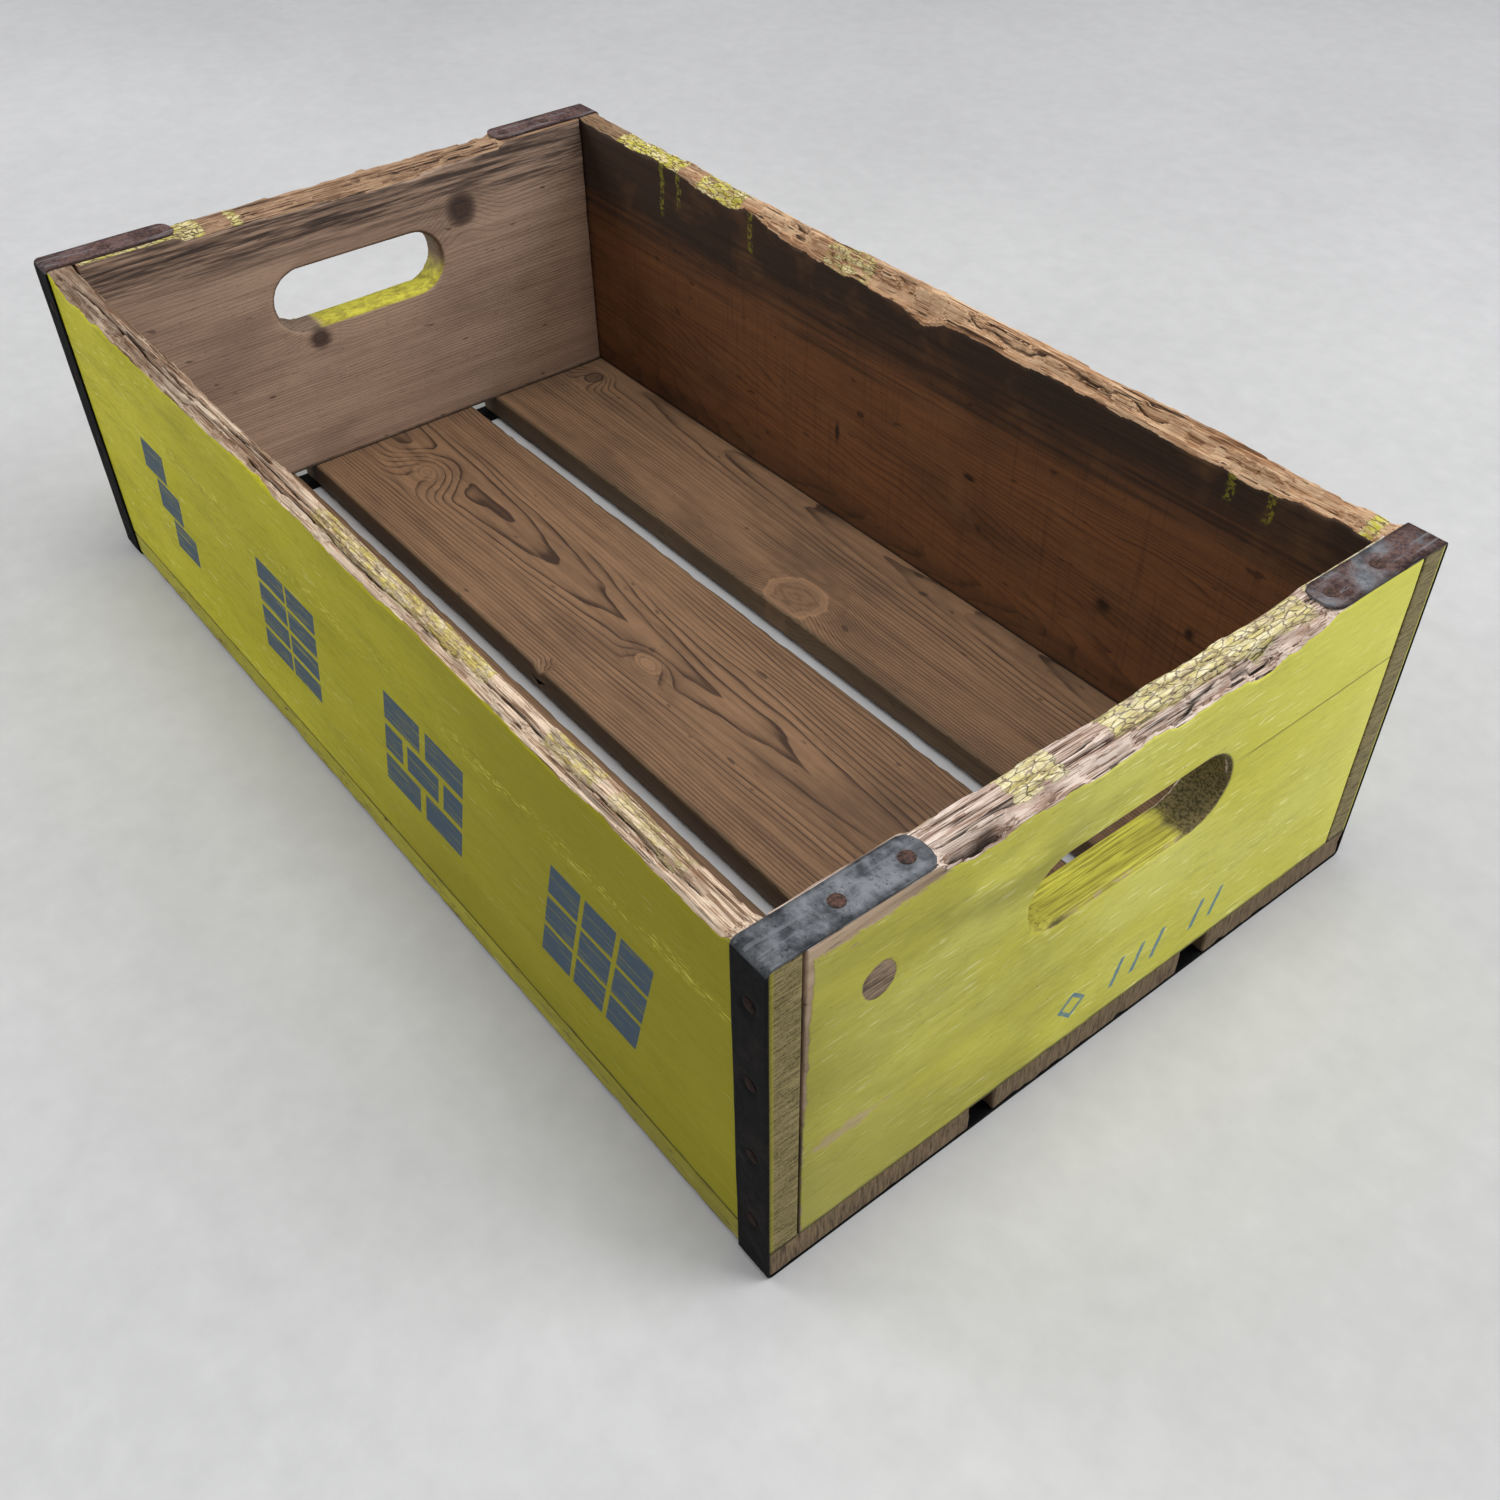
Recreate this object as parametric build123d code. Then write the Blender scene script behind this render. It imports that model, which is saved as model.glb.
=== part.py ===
"""Wooden milk bottle crate: four boards and three slats, bound at each end by a nailed steel strap.

Millimetres. +X runs along the crate, +Y across it, +Z up. The origin is at the centre of the crate's
footprint, on the surface that the two straps stand on. "Front" is -Y and "right" is +X.
"""

import os

from build123d import *

# Overall wooden box, without the straps
crate_length = 590.0
crate_width = 332.0
wall_height = 156.0

# Boards
side_thickness = 13.0
end_thickness = 19.0
arris_radius = 2.0

# Floor: three slats along the crate, with drain gaps between them
slat_thickness = 15.0
front_slat_width = 99.0
back_slat_width = 94.0
front_gap = 13.0
back_gap = 17.0

# Hand slot in each end board: an obround, eased on both faces
slot_length = 106.0
slot_height = 36.0
slot_below_rim = 37.0
slot_easing = 3.0

# Straps: one band per end, under the slats, up both sides and folded over the end board's top edge
strap_width = 17.0
strap_thickness = 1.2
tab_length = 70.0
tab_tip_radius = 6.0

# Countersunk wire nails
nail_head_radius = 3.0
nail_shank_radius = 1.3
nail_point_length = 4.0
strap_nail_length = 30.0
slat_nail_length = 38.0
nail_clearance = 0.02
nail_spacing = 4.0

# Nail pattern
leg_nails = 4
leg_nail_from_rim = 22.0
leg_nail_from_floor = 14.0
tab_nails = 2
tab_nail_from_tip = 8.0
slat_nail_inset = 24.0
side_nails = 4
side_nail_inset = 85.0

# Levels and faces that follow from the sizes above
slat_bottom = strap_thickness
slat_top = slat_bottom + slat_thickness
rim = slat_top + wall_height
end_face = crate_length / 2
side_face = crate_width / 2
strap_face = side_face + strap_thickness
strap_top = rim + strap_thickness
strap_middle = end_face - strap_width / 2
middle_slat_width = crate_width - front_slat_width - front_gap - back_gap - back_slat_width
slot_middle = rim - slot_below_rim - slot_height / 2

LEFT, RIGHT = -1, 1
FRONT, BACK = -1, 1
END_NAMES = {LEFT: "left", RIGHT: "right"}
SIDE_NAMES = {FRONT: "front", BACK: "back"}


def block(low, high):
    """A square-edged board from its lowest corner to its highest."""
    size = [b - a for a, b in zip(low, high)]
    return Pos(*low) * Box(*size, align=(Align.MIN, Align.MIN, Align.MIN))


def edges_at(shape, along, across, place, level):
    """The edges that run along one axis, at a place on the axis across it and a level on Z."""
    found = shape.edges().filter_by(along).filter_by_position(Axis.Z, level - 0.01, level + 0.01)
    return found.filter_by_position(across, place - 0.01, place + 0.01)


def side_board(side):
    """A long side: it covers the end boards' ends, and its rim is rounded on both faces."""
    outer = side * side_face
    inner = side * (side_face - side_thickness)
    low, high = min(outer, inner), max(outer, inner)
    board = block((-end_face, low, slat_top), (end_face, high, rim))
    rounded = edges_at(board, Axis.X, Axis.Y, outer, rim) + edges_at(board, Axis.X, Axis.Y, inner, rim)
    return fillet(rounded, arris_radius)


def hand_slot(end):
    """The obround cut for one end board, longer than the board is thick."""
    sketch = SlotOverall(slot_length, slot_height)
    middle = end * (end_face - end_thickness / 2)
    plane = Plane(origin=(middle, 0, slot_middle), x_dir=(0, 1, 0), z_dir=(1, 0, 0))
    return extrude(plane * sketch, end_thickness, both=True)


def end_board(end):
    """An end, held between the long sides, with its eased hand slot."""
    outer = end * end_face
    inner = end * (end_face - end_thickness)
    reach = side_face - side_thickness
    board = block((min(outer, inner), -reach, slat_top), (max(outer, inner), reach, rim))
    rounded = edges_at(board, Axis.Y, Axis.X, outer, rim) + edges_at(board, Axis.Y, Axis.X, inner, rim)
    board = fillet(rounded, arris_radius) - hand_slot(end)
    half_height = slot_height / 2
    around_slot = board.edges().filter_by_position(
        Axis.Z, slot_middle - half_height - 0.01, slot_middle + half_height + 0.01
    )
    on_faces = ShapeList(
        edge
        for edge in around_slot
        if abs(edge.center().Y) < slot_length / 2 + 0.01
        and min(abs(edge.center().X - outer), abs(edge.center().X - inner)) < 0.01
    )
    return fillet(on_faces, slot_easing)


def slat(front_edge, width):
    """A floor slat, square-edged where it meets another slat's gap."""
    return block((-end_face, front_edge, slat_bottom), (end_face, front_edge + width, slat_top))


def outer_slat(front_edge, width, side):
    """A floor slat under a long side: its lower outer edge is rounded for the straps' bend."""
    board = slat(front_edge, width)
    return fillet(edges_at(board, Axis.X, Axis.Y, side * side_face, slat_bottom), arris_radius)


def strap(end):
    """One end's band: a closed rounded hoop opened along its top between the two tabs."""
    middle_height = strap_top / 2
    plane = Plane(
        origin=(end * strap_middle, 0, middle_height), x_dir=(0, 1, 0), z_dir=(1, 0, 0)
    )
    outside = RectangleRounded(2 * strap_face, strap_top, arris_radius + strap_thickness)
    inside = RectangleRounded(2 * side_face, strap_top - 2 * strap_thickness, arris_radius)
    open_width = 2 * (strap_face - tab_length)
    opening = Pos(0, middle_height) * Rectangle(open_width, strap_top)
    band = extrude(plane * (outside - inside - opening), strap_width / 2, both=True)
    tips = ShapeList(
        edge
        for edge in band.edges().filter_by(Axis.Z)
        if abs(abs(edge.center().Y) - open_width / 2) < 0.01 and edge.center().Z > middle_height
    )
    return fillet(tips, min(tab_tip_radius, strap_width / 2 - 0.5))


def nail(length, growth=0.0):
    """A countersunk nail along -Z from its head at the origin, grown by a clearance for its hole."""
    head = nail_head_radius + growth
    shank = nail_shank_radius + growth
    half = Polyline(
        (0, 0),
        (head, 0),
        (shank, -strap_thickness),
        (shank, -length + nail_point_length),
        (0, -length),
        close=True,
    )
    return revolve(Plane.XZ * make_face(half), Axis.Z)


def spread(low, high, count):
    """Evenly spaced places from low to high, both included."""
    if count == 1:
        return [(low + high) / 2]
    return [low + (high - low) * index / (count - 1) for index in range(count)]


def leg_nail_places(end, side):
    """Nails through a strap's upright leg and the long side, into the end board's end."""
    heights = spread(slat_top + leg_nail_from_floor, rim - leg_nail_from_rim, leg_nails)
    turn = Rotation(side * -90, 0, 0)
    return [Pos(end * strap_middle, side * strap_face, height) * turn for height in heights]


def tab_nail_places(end, side):
    """Nails down through a strap's tab, clear of the topmost leg nail's point."""
    nearest = strap_face - strap_nail_length - nail_spacing
    furthest = strap_face - tab_length + tab_nail_from_tip
    return [
        Pos(end * strap_middle, side * across, strap_top)
        for across in spread(nearest, furthest, tab_nails)
    ]


def end_nail_places(end, front_edge, width):
    """Nails up through a strap and a slat into the end board, clear of the lowest leg nails."""
    reach = strap_face - strap_nail_length - nail_spacing
    low = max(front_edge + slat_nail_inset, -reach)
    high = min(front_edge + width - slat_nail_inset, reach)
    head_down = Rotation(180, 0, 0)
    return [Pos(end * strap_middle, across, 0) * head_down for across in spread(low, high, 2)]


def side_nail_places(side):
    """Nails up through an outer slat into the long side's lower edge."""
    reach = end_face - side_nail_inset
    across = side * (side_face - side_thickness / 2)
    head_down = Rotation(180, 0, 0)
    return [
        Pos(along, across, slat_bottom) * head_down for along in spread(-reach, reach, side_nails)
    ]


def all_nails():
    """Each nail group's places and nail length, by node name."""
    middle_front = -side_face + front_slat_width + front_gap
    slats = {
        "front": (-side_face, front_slat_width),
        "middle": (middle_front, middle_slat_width),
        "back": (side_face - back_slat_width, back_slat_width),
    }
    groups = {}
    for end, end_name in END_NAMES.items():
        for side, side_name in SIDE_NAMES.items():
            corner = f"{end_name}_strap_{side_name}"
            groups[f"{corner}_leg_nails"] = (leg_nail_places(end, side), strap_nail_length)
            groups[f"{corner}_tab_nails"] = (tab_nail_places(end, side), strap_nail_length)
        for slat_name, (front_edge, width) in slats.items():
            places = end_nail_places(end, front_edge, width)
            groups[f"{slat_name}_slat_{end_name}_nails"] = (places, slat_nail_length)
    for side, side_name in SIDE_NAMES.items():
        groups[f"{side_name}_slat_side_nails"] = (side_nail_places(side), slat_nail_length)
    return groups


def wood_and_straps():
    """The boards, slats and straps before their nail holes, by node name."""
    middle_front = -side_face + front_slat_width + front_gap
    shapes = {
        "front_slat": outer_slat(-side_face, front_slat_width, FRONT),
        "middle_slat": slat(middle_front, middle_slat_width),
        "back_slat": outer_slat(side_face - back_slat_width, back_slat_width, BACK),
    }
    for side, side_name in SIDE_NAMES.items():
        shapes[f"{side_name}_side_board"] = side_board(side)
    for end, end_name in END_NAMES.items():
        shapes[f"{end_name}_end_board"] = end_board(end)
        shapes[f"{end_name}_end_strap"] = strap(end)
    return shapes


def boxes_meet(first, second):
    """True where two shapes' boxes overlap, so that one may cut the other."""
    a, b = first.bounding_box(), second.bounding_box()
    low = [max(p, q) for p, q in zip(a.min, b.min)]
    high = [min(p, q) for p, q in zip(a.max, b.max)]
    return all(h > l for l, h in zip(low, high))


def drilled(shape, holes):
    """A shape with every nail hole that reaches it cut out."""
    for hole in holes:
        if boxes_meet(shape, hole):
            shape = shape - hole
    return shape


def main():
    """Builds every piece and writes one STEP file per node."""
    os.makedirs("parts", exist_ok=True)
    groups = all_nails()
    holes = [
        place * nail(length, nail_clearance)
        for places, length in groups.values()
        for place in places
    ]
    pieces = {name: drilled(shape, holes) for name, shape in wood_and_straps().items()}
    for name, (places, length) in groups.items():
        pieces[name] = Compound(children=[place * nail(length) for place in places])
    for name, piece in pieces.items():
        piece.label = name
        export_step(piece, f"parts/{name}.step")


main()
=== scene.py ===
"""A worn wooden milk bottle crate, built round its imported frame.

Metres, in the frame's own axes: +X runs along the crate to its right end, +Y across it to its back
side and +Z up. Sizes whose names end in _mm are millimetres.
"""

import logging
import math
from dataclasses import dataclass, field
from enum import Enum
from functools import partial
from typing import Callable, Sequence, Union

import bpy
import numpy as np
from mathutils import Matrix, Vector


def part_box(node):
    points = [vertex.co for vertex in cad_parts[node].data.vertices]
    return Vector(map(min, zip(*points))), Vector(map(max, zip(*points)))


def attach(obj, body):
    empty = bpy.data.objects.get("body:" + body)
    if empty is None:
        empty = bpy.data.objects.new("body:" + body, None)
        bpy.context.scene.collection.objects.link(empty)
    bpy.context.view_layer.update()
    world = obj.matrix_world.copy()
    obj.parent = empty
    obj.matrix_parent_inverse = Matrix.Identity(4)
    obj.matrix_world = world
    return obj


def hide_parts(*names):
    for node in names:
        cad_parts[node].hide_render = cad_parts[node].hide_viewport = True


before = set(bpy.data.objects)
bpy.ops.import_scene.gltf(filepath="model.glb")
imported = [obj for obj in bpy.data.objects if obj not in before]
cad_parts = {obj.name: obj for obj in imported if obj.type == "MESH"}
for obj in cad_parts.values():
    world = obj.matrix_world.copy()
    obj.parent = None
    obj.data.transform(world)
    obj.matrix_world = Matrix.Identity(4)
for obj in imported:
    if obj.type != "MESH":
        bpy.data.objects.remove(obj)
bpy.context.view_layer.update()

MM = 0.001
STRAP_WIDE_MM = 17.0
log = logging.getLogger("milk_crate")

Piece = bpy.types.Object
Socket = bpy.types.NodeSocket
Number = Union[float, "Value"]
Triple = tuple[float, float, float]
Colour = tuple[float, float, float, float]
Profile = tuple[tuple[float, float], ...]


class Axis(Enum):
    """An axis, by its place in a vector."""

    X = 0
    Y = 1
    Z = 2


def chart(red: int, green: int, blue: int) -> Colour:
    """Mixes a paint-chart colour.

    Args:
        red: red, from 0 to 255.
        green: green, from 0 to 255.
        blue: blue, from 0 to 255.

    Returns:
        The colour as linear light.
    """
    channels = [c / 255 for c in (red, green, blue)]
    linear = [c / 12.92 if c <= 0.04045 else ((c + 0.055) / 1.055) ** 2.4 for c in channels]
    return (linear[0], linear[1], linear[2], 1.0)


def dimmed(colour: Colour, share: float) -> Colour:
    """Gives the same colour with its light multiplied by a share."""
    red, green, blue = (min(1.0, share * part) for part in colour[:3])
    return (red, green, blue, 1.0)


def grained(grain: Axis, run: float, other: float) -> Triple:
    """Gives a feature's size on X, Y and Z, with its own size along the grain."""
    x, y, z = (run if grain.value == place else other for place in range(3))
    return (x, y, z)


# ---------------------------------------------------------------- repeatable noise for worn shapes


def smooth(value: np.ndarray) -> np.ndarray:
    """Eases a ramp from 0 to 1 at both its ends."""
    ramp = np.clip(value, 0.0, 1.0)
    return ramp * ramp * (3 - 2 * ramp)


class Unevenness:
    """Smooth noise, from about -1 to 1, that is the same on every run."""

    LAYERS = 3

    def __init__(self, seed: int) -> None:
        """Shuffles the lattice of noise levels.

        Args:
            seed: picks the pattern.
        """
        shuffle = np.random.default_rng(seed)
        self.order = shuffle.permutation(256)
        self.levels = shuffle.uniform(-1.0, 1.0, 256)

    def at(self, x: np.ndarray, y: float | np.ndarray = 0.0, z: float | np.ndarray = 0.0) -> np.ndarray:
        """Reads the noise.

        Args:
            x: first coordinate, one lattice cell long for each whole number.
            y: second coordinate.
            z: third coordinate.

        Returns:
            The noise at each point.
        """
        spots = np.broadcast_arrays(np.asarray(x, float), np.asarray(y, float), np.asarray(z, float))
        cells = [np.floor(s).astype(np.int64) for s in spots]
        eased = [smooth(s - c) for s, c in zip(spots, cells)]
        total = np.zeros(spots[0].shape)
        for corner in range(8):
            step = [corner & 1, corner >> 1 & 1, corner >> 2 & 1]
            index = 0
            weight = np.ones(spots[0].shape)
            for cell, ease, up in zip(cells, eased, step):
                index = self.order[(index + cell + up) & 255]
                weight = weight * (ease if up else 1 - ease)
            total += self.levels[index] * weight
        return total

    def layered(self, x: np.ndarray, y: float | np.ndarray = 0.0) -> np.ndarray:
        """Adds finer and weaker noise to the first.

        Args:
            x: first coordinate.
            y: second coordinate.

        Returns:
            The layered noise at each point.
        """
        total = np.zeros(np.broadcast(x, y).shape)
        for layer in range(self.LAYERS):
            scale = 2.0**layer
            total += self.at(np.asarray(x) * scale, np.asarray(y) * scale, layer * 17.3) / scale
        return total


# ---------------------------------------------------------------- workshop: shaping blocks


def deselect_all() -> None:
    """Leaves no object selected."""
    bpy.ops.object.select_all(action="DESELECT")


def pick(piece: Piece) -> None:
    """Makes a piece the only one selected, and the active one.

    Args:
        piece: the piece to pick.
    """
    deselect_all()
    piece.select_set(True)
    bpy.context.view_layer.objects.active = piece


def points_of(piece: Piece) -> np.ndarray:
    """Reads a piece's vertices.

    Args:
        piece: the piece to read.

    Returns:
        The vertices in millimetres, one to a row.
    """
    flat = np.empty(len(piece.data.vertices) * 3, np.float32)
    piece.data.vertices.foreach_get("co", flat)
    return flat.reshape(-1, 3).astype(float) / MM


def packed_box(node: str) -> tuple[np.ndarray, np.ndarray]:
    """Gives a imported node's lowest and highest corners, in millimetres."""
    low, high = (np.array(corner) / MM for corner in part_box(node))
    return low, high


def set_points(piece: Piece, points: np.ndarray) -> None:
    """Moves a piece's vertices to new places in millimetres."""
    piece.data.vertices.foreach_set("co", (points * MM).astype(np.float32).ravel())
    piece.data.update()


def stock(name: str, low: Sequence[float], high: Sequence[float]) -> Piece:
    """Saws a square-edged block.

    Args:
        name: the piece's name.
        low: lowest corner, in millimetres.
        high: highest corner, in millimetres.

    Returns:
        The block, at the origin and unscaled.
    """
    deselect_all()
    middle = [(a + b) / 2 * MM for a, b in zip(low, high)]
    bpy.ops.mesh.primitive_cube_add(size=1.0, location=middle)
    block = bpy.context.active_object
    block.name = name
    block.data.name = name
    block.scale = [(b - a) * MM for a, b in zip(low, high)]
    bpy.ops.object.transform_apply(location=True, rotation=True, scale=True)
    return block


EdgeTest = Callable[[np.ndarray, np.ndarray], np.ndarray]


def select_edges(piece: Piece, test: EdgeTest) -> None:
    """Selects edges by their ends, ready for edit mode.

    Args:
        piece: the piece whose edges are selected.
        test: takes both ends of every edge, in millimetres, and says which are wanted.
    """
    mesh = piece.data
    points = points_of(piece)
    ends = np.empty(len(mesh.edges) * 2, np.int32)
    mesh.edges.foreach_get("vertices", ends)
    ends = ends.reshape(-1, 2)
    wanted = test(points[ends[:, 0]], points[ends[:, 1]])
    corners = np.zeros(len(mesh.vertices), bool)
    corners[ends[wanted].ravel()] = True
    mesh.polygons.foreach_set("select", np.zeros(len(mesh.polygons), bool))
    mesh.vertices.foreach_set("select", corners)
    mesh.edges.foreach_set("select", wanted)


def along(axis: Axis, low: float = -1e9, high: float = 1e9, above: float = -1e9) -> EdgeTest:
    """Makes a test for edges that run along an axis.

    Args:
        axis: the axis that the edges follow.
        low: where the edges may begin on that axis, in millimetres.
        high: where they may end.
        above: the lowest level on Z that they may lie at.

    Returns:
        The test.
    """

    def test(first: np.ndarray, second: np.ndarray) -> np.ndarray:
        """Says which edges follow the axis inside the limits.

        Args:
            first: the edges' first ends.
            second: their other ends.

        Returns:
            True for each edge that does.
        """
        run = np.abs(second - first)
        straight = run[:, axis.value] > run.sum(1) * 0.999
        lowest = np.minimum(first, second)
        highest = np.maximum(first, second)
        inside = (lowest[:, axis.value] > low - 0.01) & (highest[:, axis.value] < high + 0.01)
        return straight & inside & (lowest[:, 2] > above - 0.01)

    return test


def edit_edges(piece: Piece) -> None:
    """Opens a piece in edit mode on its edges.

    Args:
        piece: the piece to open.
    """
    pick(piece)
    bpy.context.tool_settings.mesh_select_mode = (False, True, False)
    bpy.ops.object.mode_set(mode="EDIT")


def divide(piece: Piece, test: EdgeTest, parts: int) -> None:
    """Divides edges evenly, which lays new lines across the faces between them.

    Args:
        piece: the piece to divide.
        test: which edges are divided.
        parts: how many parts each edge is left in.
    """
    select_edges(piece, test)
    edit_edges(piece)
    bpy.ops.mesh.subdivide(number_cuts=parts - 1)
    bpy.ops.object.mode_set(mode="OBJECT")


def score(piece: Piece, axis: Axis, places_mm: Sequence[float]) -> None:
    """Scores lines all round a piece at places on an axis.

    Args:
        piece: the piece to score.
        axis: the axis square to the lines.
        places_mm: where each line goes.
    """
    pick(piece)
    bpy.ops.object.mode_set(mode="EDIT")
    normal = [1.0 if axis.value == i else 0.0 for i in range(3)]
    for place in places_mm:
        bpy.ops.mesh.select_all(action="SELECT")
        bpy.ops.mesh.bisect(plane_co=[n * place * MM for n in normal], plane_no=normal)
    bpy.ops.object.mode_set(mode="OBJECT")


def ease(piece: Piece, test: EdgeTest, width_mm: float, segments: int) -> None:
    """Rounds the edges that a test picks.

    Args:
        piece: the piece to ease.
        test: which edges are rounded.
        width_mm: how far the rounding reaches on each face.
        segments: how many facets it has.
    """
    select_edges(piece, test)
    edit_edges(piece)
    bpy.ops.mesh.bevel(offset=width_mm * MM, segments=segments, affect="EDGES")
    bpy.ops.object.mode_set(mode="OBJECT")


def finish_modifiers(piece: Piece) -> None:
    """Applies every modifier on a piece, in order.

    Args:
        piece: the piece that has them.
    """
    pick(piece)
    for modifier in list(piece.modifiers):
        bpy.ops.object.modifier_apply(modifier=modifier.name)


def face_outwards(piece: Piece) -> None:
    """Turns a closed piece's faces outwards.

    Args:
        piece: the piece to turn.
    """
    pick(piece)
    bpy.ops.object.mode_set(mode="EDIT")
    bpy.ops.mesh.select_all(action="SELECT")
    bpy.ops.mesh.normals_make_consistent(inside=False)
    bpy.ops.object.mode_set(mode="OBJECT")


def shade(piece: Piece, angle_degrees: float) -> None:
    """Shades a piece smooth where its faces meet at less than an angle."""
    pick(piece)
    bpy.ops.object.shade_smooth_by_angle(angle=math.radians(angle_degrees))


def hand_over(piece: Piece, node: str, material: bpy.types.Material) -> None:
    """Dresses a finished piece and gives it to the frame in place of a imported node.

    Args:
        piece: the finished piece.
        node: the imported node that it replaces.
        material: its finish.
    """
    piece.data.materials.clear()
    piece.data.materials.append(material)
    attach(piece, "root")
    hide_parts(node)


def store(piece: Piece, name: str, values: np.ndarray) -> None:
    """Keeps a number for each vertex, for a finish to read."""
    layer = piece.data.attributes.new(name, "FLOAT", "POINT")
    layer.data.foreach_set("value", values.astype(np.float32))


# ---------------------------------------------------------------- shader maths


class Value:
    """A number that varies over a surface. Python's operators on it add Math nodes."""

    def __init__(self, shader: "Shader", socket: Socket) -> None:
        """Wraps an output socket of a shader's node."""
        self.shader = shader
        self.socket = socket

    def _math(self, operation: str, *terms: Number) -> "Value":
        """Adds one Math node for an operation on terms."""
        inputs = dict(enumerate(terms))
        return Value(self.shader, self.shader.add("ShaderNodeMath", {"operation": operation}, inputs))

    def __add__(self, other: Number) -> "Value":
        """Sum."""
        return self._math("ADD", self, other)

    def __radd__(self, other: float) -> "Value":
        """Sum, from the right."""
        return self._math("ADD", other, self)

    def __sub__(self, other: Number) -> "Value":
        """Difference."""
        return self._math("SUBTRACT", self, other)

    def __rsub__(self, other: float) -> "Value":
        """Difference, from the right."""
        return self._math("SUBTRACT", other, self)

    def __mul__(self, other: Number) -> "Value":
        """Product."""
        return self._math("MULTIPLY", self, other)

    def __rmul__(self, other: float) -> "Value":
        """Product, from the right."""
        return self._math("MULTIPLY", other, self)

    def __truediv__(self, other: Number) -> "Value":
        """Quotient."""
        return self._math("DIVIDE", self, other)

    def __abs__(self) -> "Value":
        """Size without sign."""
        return self._math("ABSOLUTE", self)

    def root(self) -> "Value":
        """Square root."""
        return self._math("SQRT", self)

    def part(self) -> "Value":
        """What is left after the whole number is taken off."""
        return self._math("FRACT", self)

    def least(self, other: Number) -> "Value":
        """The smaller of two."""
        return self._math("MINIMUM", self, other)

    def most(self, other: Number) -> "Value":
        """The larger of two."""
        return self._math("MAXIMUM", self, other)

    def rise(self, low: float, high: float) -> "Value":
        """An eased step: 0 at low and 1 at high, or falling where low is the larger.

        Args:
            low: the value where the step is 0.
            high: the value where the step is 1.

        Returns:
            The step.
        """
        start, stop = (low, high) if low < high else (high, low)
        settings = {"interpolation_type": "SMOOTHSTEP"}
        inputs = {"Value": self, "From Min": start, "From Max": stop}
        step = Value(self.shader, self.shader.add("ShaderNodeMapRange", settings, inputs))
        return step if low < high else 1 - step

    def band(self, low: float, high: float, soft: float) -> "Value":
        """1 between two values, falling to 0 over a soft margin outside them."""
        return self.rise(low - soft, low) * self.rise(high + soft, high)


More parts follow.
